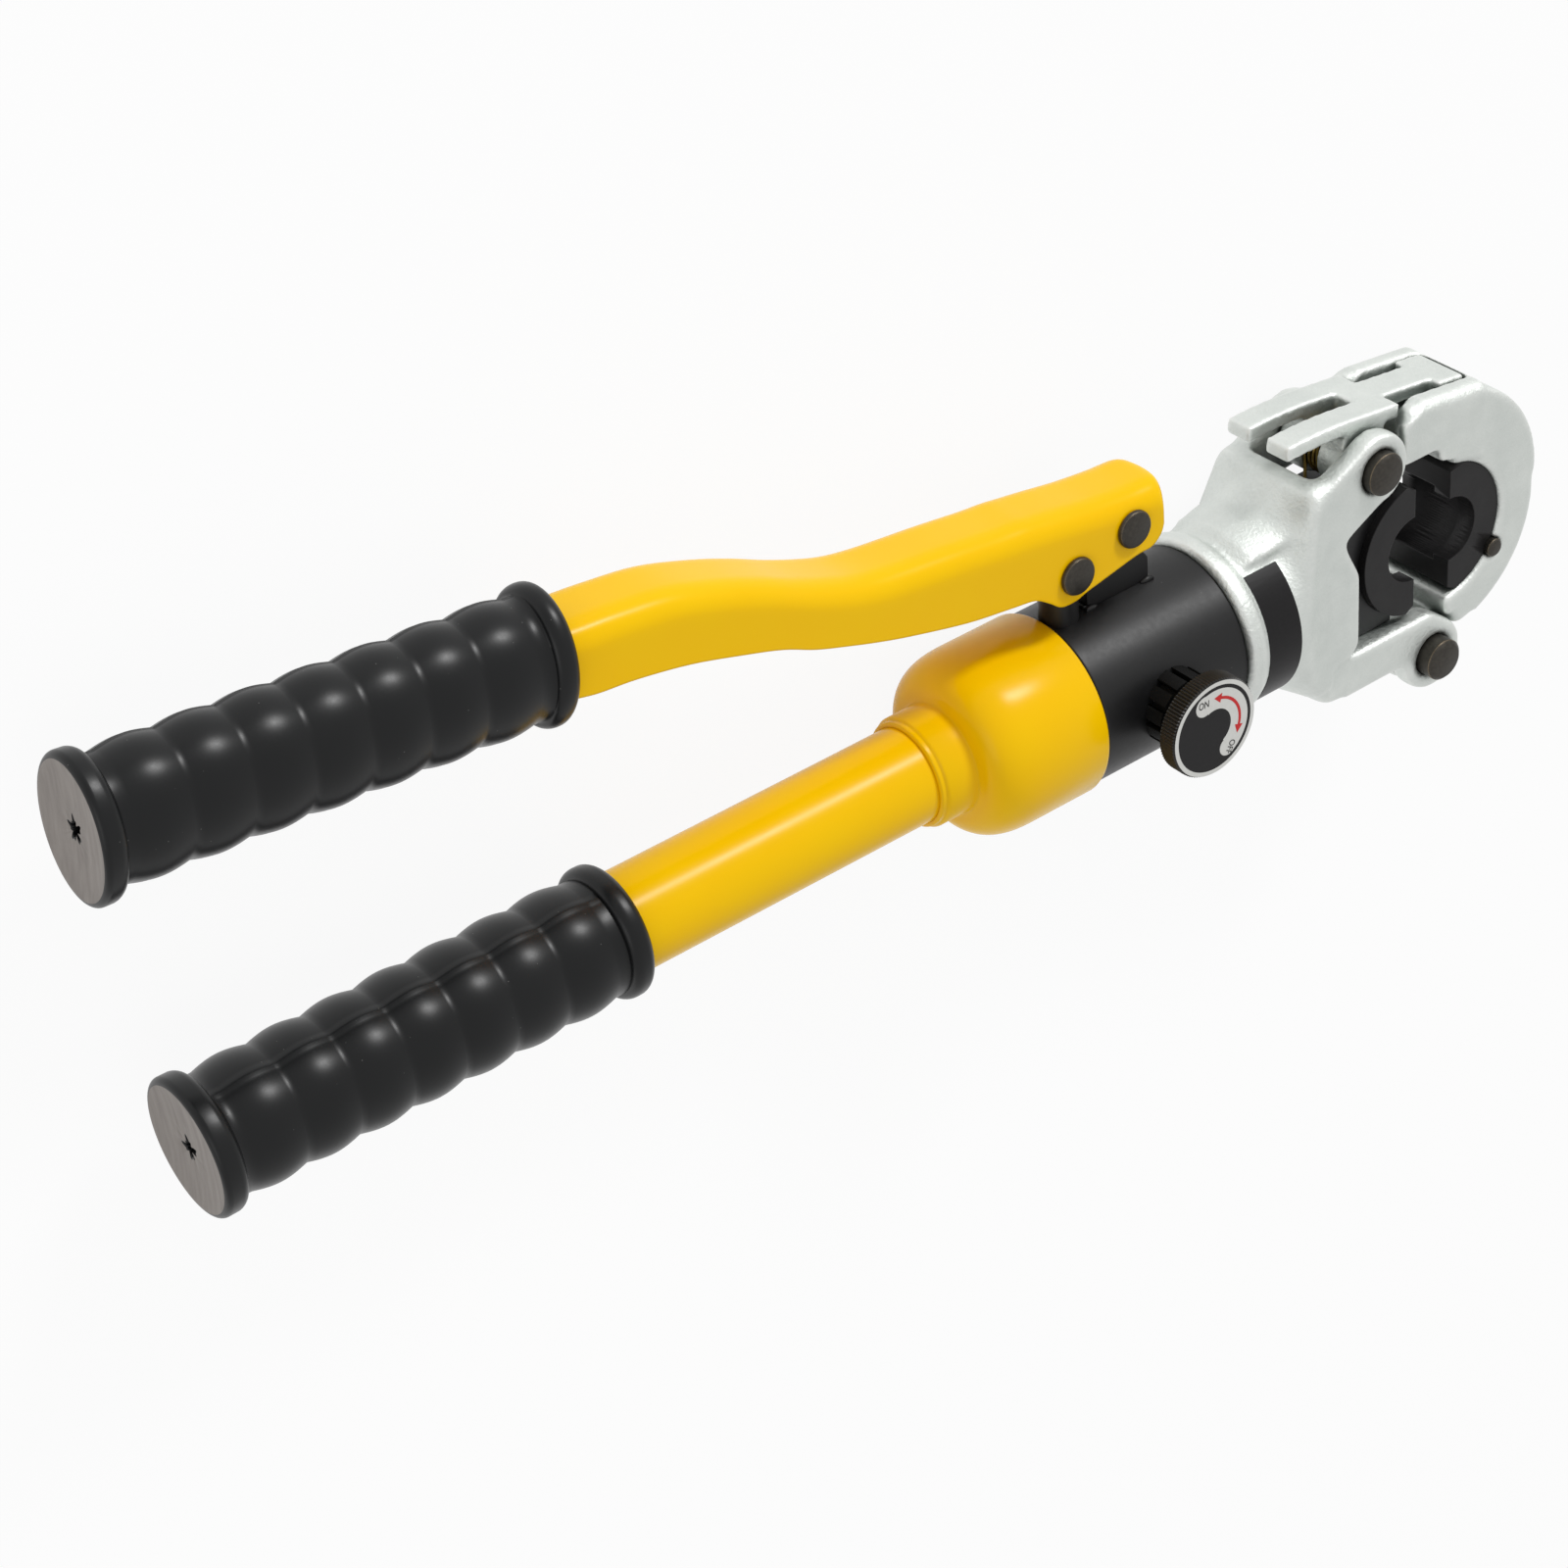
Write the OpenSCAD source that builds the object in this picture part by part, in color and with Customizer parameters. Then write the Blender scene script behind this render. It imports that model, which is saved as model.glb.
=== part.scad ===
// Hand-pumped hydraulic crimping tool for pipe fittings, millimetres.
// Origin at the centre of the fixed die's press groove, +X out of the head,
// +Y towards the pump lever, +Z along the pressed pipe and the joint pins.

/* [Dies] */
// Outer radius of a die half
die_r = 22; // [20:0.5:25]
// Width of a die half along the pipe
die_w = 29; // [26:0.5:30]
// Radius of the pressing lips
lip_r = 10.5; // [8:0.5:13]
// Radius of the relief groove between the lips
groove_r = 12.5; // [11:0.5:15]
// Width of each pressing lip
lip_w = 6; // [4:0.5:8]
// Distance from a die's parting face to the centre of its outer arc
die_arc_shift = 2; // [1:0.5:3]
// Length of the bevel at each die end
die_bevel = 5; // [3:0.5:6]
// Gap between the die faces with the ram retracted
press_gap = 14; // [10:1:18]
// Gap left between the die faces at full stroke
closed_gap = 0.3; // [0.2:0.1:0.6]

/* [Head] */
// Distance from the press groove back to the head's seat on the cylinder
head_len = 90; // [86:1:100]
// Outer radius of the head's round collar
collar_r = 26.5; // [25:0.5:30]
// Length of the round collar
collar_len = 20; // [18:1:22]
// Width of the rolled rim on the collar's end
rim_w = 7; // [5:0.5:9]
// How far the rolled rim stands proud of the collar
rim_h = 1.5; // [0.5:0.5:2.5]
// Full width of the fork across its cheeks
fork_w = 40; // [38:1:46]
// Full width of the lower arm
arm_w = 36; // [34:1:38]
// Latch pin position along the tool, ahead of the press groove
latch_x = -33.6; // [-36:0.2:-32]
// Latch pin height above the tool axis
latch_y = 36; // [34:0.5:38]
// Hinge pin position along the tool, ahead of the press groove
hinge_x = -8.1; // [-10:0.1:-6]
// Hinge pin height above the tool axis
hinge_y = -38; // [-41:0.5:-37]
// Radius of the round ears that carry the pins
ear_r = 11.3; // [10:0.1:12.5]
// Radius of the latch and hinge pins
pin_r = 6.4; // [5:0.1:7]
// How far the latch pin stands out of the near ear
latch_pin_out = 3; // [2:0.5:5]
// How far the hinge pin stands out of the near ear
hinge_pin_out = 4.5; // [3:0.5:6]
// Front face of the cheek pads, ahead of the press groove
cheek_x = -40.4; // [-42:0.2:-39]
// Height of the lower arm's upper face
arm_top_y = -23; // [-24:0.2:-22.8]
// Depth of the lower arm
arm_depth = 14; // [12:0.5:17]

/* [Jaw] */
// Radius of the jaw's outer arc
jaw_r = 37; // [35:0.5:40]
// Full width of the jaw's C plate
jaw_w = 32; // [30:0.5:33]
// Full width of the jaw's upper pad
pad_w = 34; // [33:0.5:36]
// Full width of the jaw's hinge knuckle
knuckle_w = 20; // [16:1:22]
// Radius of the jaw's hinge knuckle
knuckle_r = 11; // [9.5:0.1:11.2]

/* [Latch] */
// Full width of the latch plate
latch_w = 24.8; // [22:0.2:26]
// Thickness of the latch plate
latch_t = 4.6; // [4:0.2:6]
// Height of the latch's top face above its pin
latch_top = 14.5; // [13.5:0.1:16]
// Downward tilt of the latch plate towards the jaw, degrees
latch_tilt = 7; // [5:0.5:9]
// Length of the latch's two finger prongs behind the pin
prong_len = 29.8; // [26:0.2:32]
// Width of the slot between the prongs
prong_slot = 6.5; // [5:0.5:8]
// Width of the latch's neck
neck_w = 11; // [9:0.5:12]
// Width of the latch's cross head
cross_w = 18; // [16:0.5:20]
// Length of the latch's cross head
cross_len = 10; // [8:0.5:11]

/* [Cylinder] */
// Outer radius of the cylinder body
cyl_r = 25.8; // [24:0.2:27]
// Visible length of the cylinder body
cyl_len = 51.8; // [50:0.2:60]
// Radius of the ram's bore
ram_bore = 18; // [16:0.2:19]
// Radius of the ram's rod
rod_r = 11; // [9:0.2:12]
// Length of the piston on the ram
piston_len = 12; // [10:0.5:14]
// Outer radius of the thread that joins cylinder and head
thread_r = 23; // [22:0.2:23.6]
// Length of that thread
thread_len = 18; // [14:0.5:19]

/* [Pump] */
// Distance from the cover's mouth to the pump plunger's axis
pump_off = 5.9; // [5.9:0.1:7]
// Distance from the head's seat back to the lever's fulcrum
fulcrum_back = 28.8; // [28:0.1:30]
// Distance from the fulcrum pin back to the plunger pin along the tool
pin_span = 20.3; // [19.5:0.1:21]
// Height of the fulcrum pin above the tool axis
fulcrum_y = 51.3; // [50:0.1:53]
// Height of the plunger pin below the fulcrum pin
pin_drop = 5.8; // [5:0.1:6.6]
// Radius of the pump plunger
plunger_r = 3.5; // [3:0.1:4.5]
// Outer radius of the pump barrel
barrel_r = 5.6; // [5.2:0.1:5.7]
// Radius of the lever's two pins
lever_pin_r = 3.2; // [2.6:0.1:3.6]
// Radius of the lever pins' domed heads
pin_head_r = 5.1; // [4.8:0.1:5.6]

/* [Lever] */
// Full width of the pressed channel
lever_w = 24; // [22:0.5:26]
// Sheet thickness of the pressed channel
lever_t = 2.5; // [2:0.1:3]
// Distance from the fulcrum to the lever's front end
lever_nose = 11.2; // [10:0.1:12]
// Radius of the channel's rounded top edges
lever_edge_r = 7; // [4:0.5:9]
// Length of the lever grip
lever_grip_len = 129; // [110:1:140]
// Half height of the lever grip at its beads
lever_grip_hy = 19.5; // [18:0.5:22]
// Half width of the lever grip at its beads
lever_grip_hz = 16.5; // [16:0.5:18.5]

/* [Handle] */
// Outer radius of the reservoir cover
cover_r = 27; // [26.6:0.1:29]
// Length of the reservoir cover from its mouth to its collar
cover_len = 40; // [38:0.5:44]
// Length of the cover's rounded shoulder
shoulder_len = 24; // [20:0.5:26]
// Wall of the reservoir cover
cover_wall = 2; // [1.5:0.1:2.2]
// Outer radius of the neck collar
neck_r = 16.2; // [15.6:0.1:17]
// Length of the neck collar
neck_len = 9.5; // [7:0.5:12]
// Outer radius of the handle tube
tube_r = 14; // [13:0.1:15]
// Wall of the handle tube
tube_wall = 2; // [1.5:0.1:2.5]
// Bare length of the handle tube between collar and grip
tube_bare = 96; // [80:1:110]
// Length of the handle grip
grip_len = 128; // [110:1:140]
// Radius of the handle grip's end beads
grip_bead_r = 19; // [18:0.1:20]

/* [Release valve] */
// Radius of the release knob
knob_r = 15; // [13:0.2:16]
// Thickness of the release knob
knob_t = 7; // [6:0.2:8]
// Height of the knob's face above the tool axis
knob_face_z = 41; // [39:0.5:44]
// Distance from the head's seat back to the knob's axis
knob_back = 27.2; // [26:0.2:28]
// Radius of the ribbed collar under the knob
valve_collar_r = 11; // [9:0.2:12]
// Radius of the release spindle
spindle_r = 4; // [3:0.1:4.5]

/* [Clearances] */
// Radial clearance of pins, plungers and threads
fit_gap = 0.05; // [0.02:0.01:0.1]
// Clearance between parts that slide past each other
side_gap = 0.3; // [0.2:0.05:0.5]

/* [Hidden] */
$fn = 64;
facets = 32;
eps = 0.5;
beyond = 80;

// Stations along the tool axis
seat_x = -head_len;
mouth_x = seat_x - cyl_len;
shoulder_x = mouth_x - cover_len;
neck_x = shoulder_x - neck_len;
grip_x = neck_x - tube_bare;
grip_end_x = grip_x - grip_len;
pump_x = mouth_x + pump_off;
fulcrum_x = seat_x - fulcrum_back;
pin_x = fulcrum_x - pin_span;
plunger_y = fulcrum_y - pin_drop;
knob_x = seat_x - knob_back;
collar_end_x = seat_x + collar_len;
stroke = press_gap - closed_gap;

// Head details
slot_floor_x = -50;
cavity_r = ram_bore + 0.2;
cavity_end_x = -60;
cheek_root_x = -53.1;
flare_x = -58.5;
cheek_top_y = latch_y + 3;
cheek_low_y = -22;
notch_x = cheek_x - 5.6;
notch_y = 18;
notch_step = 3.4;
pad_top_y = 5;
pad_chamfer = 3.5;
pocket_half = die_w / 2 + 0.6;
latch_slot_half = latch_w / 2 + side_gap;
knuckle_slot_half = knuckle_w / 2 + 0.25;
pocket_top_y = die_r + 3;
arm_low_y = arm_top_y - arm_depth;
swell_turn = 33;
swell_h = 3.6;
label_x = collar_end_x - 12.6;
label_w = 12;
label_t = 0.3;
label_from = 37;
label_turn = 120;

// Jaw details
jaw_cx = -3;
jaw_cy = 1.5;
pad_left_x = latch_x + ear_r + 1.2;
pad_right_x = 11.5;
pad_rise = 6;
pad_low_y = 30.5;
tooth_x = -6;
tooth_y = 26;
throat_x = -2;
crown_x = jaw_cx - 0.6;
crown_y = jaw_cy + 5.8;
crown_r = jaw_r + 1.6;
pad_edge = 2.5;
button_r = 2.8;
button_angle = -34;
button_len = 8;
spring_room = 4;

// Die and holder details
seat_gap = fit_gap;
holder_back_x = -47;
holder_front_x = -press_gap - 7;
holder_half_y = die_r + 0.5;
holder_w = die_w - 5;

// Cylinder details
bore_end_x = seat_x - 18;
ram_back_gap = 0.5;
piston_x0 = bore_end_x + ram_back_gap;
piston_x1 = piston_x0 + piston_len;
tail_len = 22;
seat_ring_t = 2;
spring_wire_r = 1.3;
spring_mean_r = (ram_bore + rod_r) / 2;
spring_curls = 7;

// Pump details
barrel_base_y = 8;
barrel_top_y = 33;
chamber_y = 12;
plunger_low_y = 14;
eye_half_x = 6.2;
eye_half_y = 6.2;
eye_half_z = 6;
eye_slot = 1.3;
bracket_half_z = 3;
bracket_r = 5.8;
bracket_front = 12.8;
bracket_back = 9.2;
bracket_foot_h = 7;
bracket_waist = 8;
head_out = 1.7;

// Lever: stations behind the fulcrum as [distance, top height, bottom height] from the pin
nose_stations = [[0, 7.4, -9.5], [0.8, 8.5, -9.4], [2.4, 9.1, -9.2], [5, 9.3, -8.9], [10, 9.6, -8.6]];
skirt_stations = [[20, 10.8, -11], [28, 12.1, -12.6], [32, 12.8, -13.7], [37, 13.6, -13.4],
    [41, 14.2, -10.5], [46, 15, -7.4], [54, 15.8, -6.1]];
arm_stations = [[69, 17.8, -3.8], [88, 20, 0.8], [99, 22, 4], [108, 25, 7], [118, 29.2, 10.6]];
bend_stations = [[128, 34, 15.2], [140, 39, 19.2], [156, 44.2, 23.9], [172, 46.6, 27], [184, 47.8, 28.4]];
lever_stations = concat(nose_stations, skirt_stations, arm_stations, bend_stations);
nose_swell = 3.4;
nose_run = 20;
grip_slope = 5;
grip_axis_dx = 178;
grip_axis_dy = 37.6;
bar_half_y = 9.6;
bar_half_z = 10.6;
bar_edge_r = 4;
bar_len = 118;

// Handle and reservoir details
cover_in = cyl_r - 0.8;
shoulder_h = cover_r - neck_r;
tail_r = cover_in - fit_gap;
bladder_r = 10.5;
bladder_len = 105;
bulge_count = 7;
bulge_h = 1.3;
grip_valley_r = 16.2;
grip_wall_end = 4;
grip_bead_w = 6;
cut_hole_r = 2.2;

// Plain helpers
module xcyl(r, x0, x1) {
    translate([x0, 0, 0]) rotate([0, 90, 0]) cylinder(r = r, h = x1 - x0);
}
module xrod(r, x0, x1, y, z) {
    translate([0, y, z]) xcyl(r, x0, x1);
}
module ycyl(x, z, r, y0, y1) {
    translate([x, y0, z]) rotate([-90, 0, 0]) cylinder(r = r, h = y1 - y0);
}
module zcyl(x, y, r, z0, z1) {
    translate([x, y, z0]) cylinder(r = r, h = z1 - z0);
}
module block(x0, x1, y0, y1, half_z) {
    translate([x0, y0, -half_z]) cube([x1 - x0, y1 - y0, 2 * half_z]);
}
module plate(points, half_z) {
    translate([0, 0, -half_z]) linear_extrude(2 * half_z) polygon(points);
}
// Ring of round section about the tool axis
module xring(x, mean_r, section_r) {
    translate([x, 0, 0]) rotate([0, 90, 0]) rotate_extrude() translate([mean_r, 0]) circle(section_r);
}
// Body turned about the tool axis: points are [x, radius]
module turned(points) {
    rotate([0, 90, 0]) rotate_extrude() polygon([for (p = points) [p[1], p[0]]]);
}
// Round bar swept along points by rings of six, closed at both ends
function unit(v) = v / norm(v);
function way(p, i) = unit(p[min(i + 1, len(p) - 1)] - p[max(i - 1, 0)]);
function side(t) = unit(cross(t, abs(t[2]) < 0.9 ? [0, 0, 1] : [0, 1, 0]));
function wire_ring(p, i, r, n) = let (t = way(p, i), a = side(t), b = cross(t, a))
    [for (k = [0 : n - 1]) p[i] + r * (cos(360 * k / n) * a + sin(360 * k / n) * b)];
module wire(p, r, n = 6) {
    last = len(p) - 1;
    points = [for (i = [0 : last]) each wire_ring(p, i, r, n)];
    walls = [for (i = [0 : last - 1], k = [0 : n - 1]) let (a = i * n, b = (k + 1) % n)
        each [[a + k, a + n + b, a + b], [a + k, a + n + k, a + n + b]]];
    start = [for (k = [1 : n - 2]) [0, k, k + 1]];
    finish = [for (k = [1 : n - 2]) [last * n, last * n + k + 1, last * n + k]];
    polyhedron(points, concat(walls, start, finish));
}
// Points of a coil: start, axis, mean radius, length and turns, eight to a turn
function coil(p, axis, r, length, turns) = let (a = side(axis), b = cross(axis, a), last = turns * 8)
    [for (i = [0 : last]) p + axis * (length * i / last) + r * (cos(45 * i) * a + sin(45 * i) * b)];
// Least distance between two coils that are a turn apart, less the wire's thickness
function coil_gap(p, rings, r) = min([for (i = [0 : len(p) - 1], j = [i + rings / 2 : 1 : len(p) - 1])
    if (j < len(p)) norm(p[i] - p[j])]) - 2 * r;

// Rise of the neck's top from the rim into the cheeks, as a sector turned about the tool axis
module neck_rise() {
    rim_x = seat_x + rim_w;
    reach = 3 * collar_r;
    rise = cheek_top_y - collar_r - swell_h;
    run = flare_x - collar_end_x;
    step_x = rim_x + 0.4 * (collar_end_x - rim_x);
    foot = [[rim_x, thread_r], [rim_x, collar_r], [step_x, collar_r + 0.7 * swell_h]];
    band = [[collar_end_x - 2, collar_r + swell_h]];
    flare = [for (k = [0.2 : 0.2 : 1])
        [collar_end_x + run * k, collar_r + swell_h + rise * (0.25 * k + 0.75 * k * k)]];
    sector = [for (a = [-swell_turn : swell_turn : swell_turn]) [reach * cos(a), reach * sin(a)]];
    intersection() {
        turned(concat(foot, band, flare, [[flare_x, thread_r]]));
        translate([rim_x - 1, 0, 0]) rotate([90, 0, 90]) linear_extrude(flare_x - rim_x + 2)
            polygon(concat([[0, 0]], sector));
        block(rim_x - 1, flare_x + 1, 0, cheek_top_y, fork_w / 2);
    }
}
// Steel fork of the head with its screwed collar, cheeks, ears and lower arm
module fork_corner(x, y, z, r) {
    xrod(r, x, x + eps, y, z, $fn = facets);
}
module fork_section(x, y0, y1, half_z, r) {
    for (y = [y0 + r, y1 - r], z = [-half_z + r, half_z - r]) fork_corner(x, y, z, r);
}
module fork_neck() {
    mid_x = collar_end_x + 4;
    mid_z = collar_r - 1.5;
    hull() {
        xcyl(collar_r, collar_end_x - eps, collar_end_x, $fn = facets);
        fork_section(mid_x, -collar_r - 0.3, collar_r + 1, mid_z, collar_r - 5);
    }
    hull() {
        fork_section(mid_x, -collar_r - 0.3, collar_r + 1, mid_z, collar_r - 5);
        fork_section(flare_x, -collar_r - 3.5, cheek_top_y, fork_w / 2 + 1, 6);
    }
    hull() {
        fork_section(flare_x, -collar_r - 3.5, cheek_top_y, fork_w / 2 + 1, 6);
        fork_section(cheek_root_x + 2, arm_low_y + 0.5, cheek_top_y + 0.5, fork_w / 2, 4);
    }
}
module cheeks() {
    ear_top = [latch_x - ear_r * cos(52), latch_y + ear_r * sin(52)];
    ear_low = [latch_x + ear_r * cos(40), latch_y - ear_r * sin(40)];
    plate([[cheek_root_x + 1, cheek_low_y], [cheek_root_x + 1, cheek_top_y], ear_top,
        [latch_x, latch_y], ear_low, [notch_x, notch_y], [notch_x + 1, notch_y - notch_step],
        [cheek_x, pad_top_y],
        [cheek_x, cheek_low_y + pad_chamfer], [cheek_x - pad_chamfer, cheek_low_y]], fork_w / 2);
    zcyl(latch_x, latch_y, ear_r, -fork_w / 2, fork_w / 2);
}
module lower_arm() {
    plate([[cheek_root_x + 1, cheek_low_y], [cheek_x - pad_chamfer, cheek_low_y], [cheek_x, arm_top_y],
        [hinge_x - 1, arm_top_y], [hinge_x + ear_r * cos(50), hinge_y + ear_r * sin(50)], [hinge_x, hinge_y],
        [hinge_x - ear_r - 6, arm_low_y], [cheek_root_x + 3, arm_low_y],
        [cheek_root_x + 1, arm_low_y + 2]], arm_w / 2);
    zcyl(hinge_x, hinge_y, ear_r, -arm_w / 2, arm_w / 2);
}
module head_yoke() {
    color("silver") difference() {
        union() {
            turned([[seat_x, thread_r - 2], [seat_x, collar_r + rim_h - 1], [seat_x + 1, collar_r + rim_h],
                [seat_x + rim_w - 2, collar_r + rim_h], [seat_x + rim_w, collar_r], [collar_end_x, collar_r],
                [collar_end_x, thread_r - 2]]);
            fork_neck();
            neck_rise();
            cheeks();
            lower_arm();
        }
        xcyl(thread_r + fit_gap, seat_x - eps, seat_x + thread_len);
        xcyl(cavity_r, seat_x - eps, cavity_end_x);
        xcyl(rod_r + 0.1, cavity_end_x - eps, slot_floor_x + eps);
        block(slot_floor_x, beyond, arm_top_y, pocket_top_y, pocket_half);
        block(cheek_root_x, beyond, pocket_top_y - eps, beyond, latch_slot_half);
        block(hinge_x - ear_r - 1, hinge_x + 30, hinge_y - 30, arm_top_y + eps, knuckle_slot_half);
        zcyl(latch_x, latch_y, pin_r + fit_gap, -fork_w, fork_w);
        zcyl(hinge_x, hinge_y, pin_r + fit_gap, -fork_w, fork_w);
        ycyl(seat_x + 12, 0, 2.5 + fit_gap, -collar_r - 1, -thread_r + 1.5);
    }
}
// Bare black band wrapped round the collar's near side
module head_label() {
    band_r = collar_r + fit_gap;
    reach = 2 * collar_r;
    color("black") intersection() {
        difference() {
            xcyl(band_r + label_t, label_x, label_x + label_w);
            xcyl(band_r, label_x - eps, label_x + label_w + eps);
        }
        translate([label_x - 1, 0, 0]) rotate([90, 0, 90]) linear_extrude(label_w + 2)
            polygon(concat([[0, 0]], [for (a = [label_from : 30 : label_from + label_turn])
            [reach * cos(a), reach * sin(a)]]));
    }
}
module head_set_screw() {
    color("dimgray") difference() {
        ycyl(seat_x + 12, 0, 2.5, -collar_r, -thread_r - 0.2);
        ycyl(seat_x + 12, 0, 1.2, -collar_r - 1, -collar_r + 1.8, $fn = 6);
    }
}

// C-shaped jaw: outer arc, raised upper pad, hinge knuckle, die seat and latch pocket
function latch_point(u, v) = [latch_x + u * cos(latch_tilt) + v * sin(latch_tilt),
    latch_y - u * sin(latch_tilt) + v * cos(latch_tilt)];
cross_u1 = 42.6;
cross_u0 = cross_u1 - cross_len;
neck_u0 = 13.3;
lip_drop = 0.25;
lift_room = 2.4;
// The lips' top is turned about the hinge, so that the jaw swings clear under the lifted cross head
lip_sweep_r = norm(latch_point(cross_u0, latch_top - latch_t) - [hinge_x, hinge_y]) - lip_drop;
module along_latch(u0, u1, v0, v1, half_z) {
    translate([latch_x, latch_y, 0]) rotate(-latch_tilt) block(u0, u1, v0, v1, half_z);
}
module jaw_pad() {
    top_left = latch_point(cross_u0 - 17, latch_top);
    top_right = latch_point(cross_u1 + 1.5, latch_top);
    difference() {
        plate([[pad_left_x, pad_low_y], [pad_left_x, top_left[1] - pad_rise], [pad_left_x + 2.5, top_left[1]],
            top_left, top_right, [pad_right_x, jaw_cy + 20], [tooth_x, tooth_y], [tooth_x - 1, pad_low_y]],
            pad_w / 2);
        translate([latch_x, latch_y, 0]) rotate(-latch_tilt) for (side = [0, 1]) mirror([0, 0, side])
            translate([-10, 0, 0]) rotate([90, 0, 90]) linear_extrude(beyond)
            polygon([[latch_top - pad_edge, pad_w / 2 + 0.1], [latch_top + 9, pad_w / 2 + 0.1],
            [latch_top + 9, pad_w / 2 - pad_edge], [latch_top + 0.1, pad_w / 2 - pad_edge]]);
    }
}
module jaw_arc() {
    shoulder = latch_point(cross_u1 + 1, latch_top);
    crown_end = crown_x + crown_r + 1;
    difference() {
        zcyl(jaw_cx, jaw_cy, jaw_r, -jaw_w / 2, jaw_w / 2);
        block(-beyond, throat_x, -beyond, beyond, jaw_w);
    }
    intersection() {
        zcyl(crown_x, crown_y, crown_r, -jaw_w / 2, jaw_w / 2);
        plate([[0, die_r + 2], shoulder, [crown_end, shoulder[1]], [crown_end, crown_y],
            [die_r + 2, crown_y - 10]], jaw_w);
    }
}
module jaw_knuckle() {
    plate([[throat_x, -die_r - 1], [throat_x, hinge_y + 9], [hinge_x + 4, hinge_y + 8],
        [hinge_x + 6, hinge_y - 7], [8, hinge_y + 4], [18, -29], [14, -22]], knuckle_w / 2);
    zcyl(hinge_x, hinge_y, knuckle_r, -knuckle_w / 2, knuckle_w / 2);
}
module jaw_ear_room() {
    for (side = [-1, 1]) {
        z0 = side > 0 ? knuckle_w / 2 : -arm_w;
        z1 = side > 0 ? arm_w : -knuckle_w / 2;
        zcyl(hinge_x, hinge_y, ear_r + 0.6, z0, z1);
        translate([-beyond, -beyond, z0]) cube([beyond + throat_x + 0.1, beyond + arm_top_y + 1.2, z1 - z0]);
    }
}
module latch_pocket() {
    v0 = latch_top - latch_t;
    intersection() {
        along_latch(-20, cross_u1 + 1.2, 0, latch_top + 20, cross_w / 2 + 0.5);
        difference() {
            zcyl(hinge_x, hinge_y, 2 * lip_sweep_r, -fork_w, fork_w);
            zcyl(hinge_x, hinge_y, lip_sweep_r, -2 * fork_w, 2 * fork_w);
        }
    }
    along_latch(neck_u0 - 2, cross_u0 + 1, v0 - lift_room, latch_top - 1, neck_w / 2 + 0.4);
    along_latch(cross_u0 - 0.3, cross_u1 + 1, v0 - lift_room - 0.1, latch_top - 2, cross_w / 2 + 0.4);
    along_latch(-22, neck_u0 + 1, -20, latch_top + 22, latch_slot_half + 0.2);
}
module swing_jaw() {
    color("silver") difference() {
        union() {
            difference() {
                union() {
                    jaw_pad();
                    jaw_arc();
                }
                jaw_ear_room();
            }
            jaw_knuckle();
        }
        zcyl(-die_arc_shift, 0, die_r + seat_gap, -fork_w, fork_w);
        block(-beyond, 0, -die_r, pad_low_y - 6, fork_w);
        latch_pocket();
        zcyl(hinge_x, hinge_y, pin_r + fit_gap, -fork_w, fork_w);
        die_button_room();
    }
}
module hinge_pin() {
    color("dimgray") stepped_pin(hinge_x, hinge_y, arm_w / 2, hinge_pin_out);
}
module latch_pin() {
    color("dimgray") stepped_pin(latch_x, latch_y, fork_w / 2, latch_pin_out);
}
clip_gap = 0.2;
clip_t = 1.2;
clip_depth = 1;
module stepped_pin(x, y, half_z, out) {
    translate([x, y, 0]) rotate_extrude() polygon([[0, -half_z - out], [pin_r - 1, -half_z - out],
        [pin_r, -half_z - out + 1], [pin_r, -half_z - clip_gap - clip_t - 0.1],
        [pin_r - clip_depth, -half_z - clip_gap - clip_t - 0.1], [pin_r - clip_depth, -half_z - clip_gap],
        [pin_r, -half_z - clip_gap], [pin_r, half_z + out - 1], [pin_r - 1, half_z + out],
        [0, half_z + out]]);
}
module clip(x, y, half_z) {
    z0 = -half_z - clip_gap - clip_t;
    difference() {
        zcyl(x, y, pin_r + 1.4, z0, z0 + clip_t);
        zcyl(x, y, pin_r - clip_depth + fit_gap, z0 - 1, z0 + clip_t + 1);
        translate([x - 1.5, y, z0 - 1]) cube([3, 20, clip_t + 2]);
    }
}
module pin_clips() {
    color("gray") {
        clip(hinge_x, hinge_y, arm_w / 2);
        clip(latch_x, latch_y, fork_w / 2);
    }
}

// Latch: two finger prongs, hub on its pin, neck and cross head
module latch() {
    v0 = latch_top - latch_t;
    hub_r = 9;
    color("silver") difference() {
        union() {
            along_latch(-prong_len, neck_u0, v0, latch_top, latch_w / 2);
            along_latch(neck_u0 - eps, cross_u1, v0, latch_top, neck_w / 2);
            along_latch(cross_u0, cross_u1, v0, latch_top, cross_w / 2);
            along_latch(1 - hub_r, hub_r - 1, 0, v0 + eps, latch_w / 2);
            zcyl(latch_x, latch_y, hub_r, -latch_w / 2, latch_w / 2);
        }
        zcyl(latch_x, latch_y, pin_r + fit_gap, -latch_w, latch_w);
        along_latch(-prong_len - 1, prong_len, -20, v0 - 0.5, prong_slot / 2);
        along_latch(-prong_len - 1, 3.3, v0 - 1, latch_top + 1, prong_slot / 2);
    }
}
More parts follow.
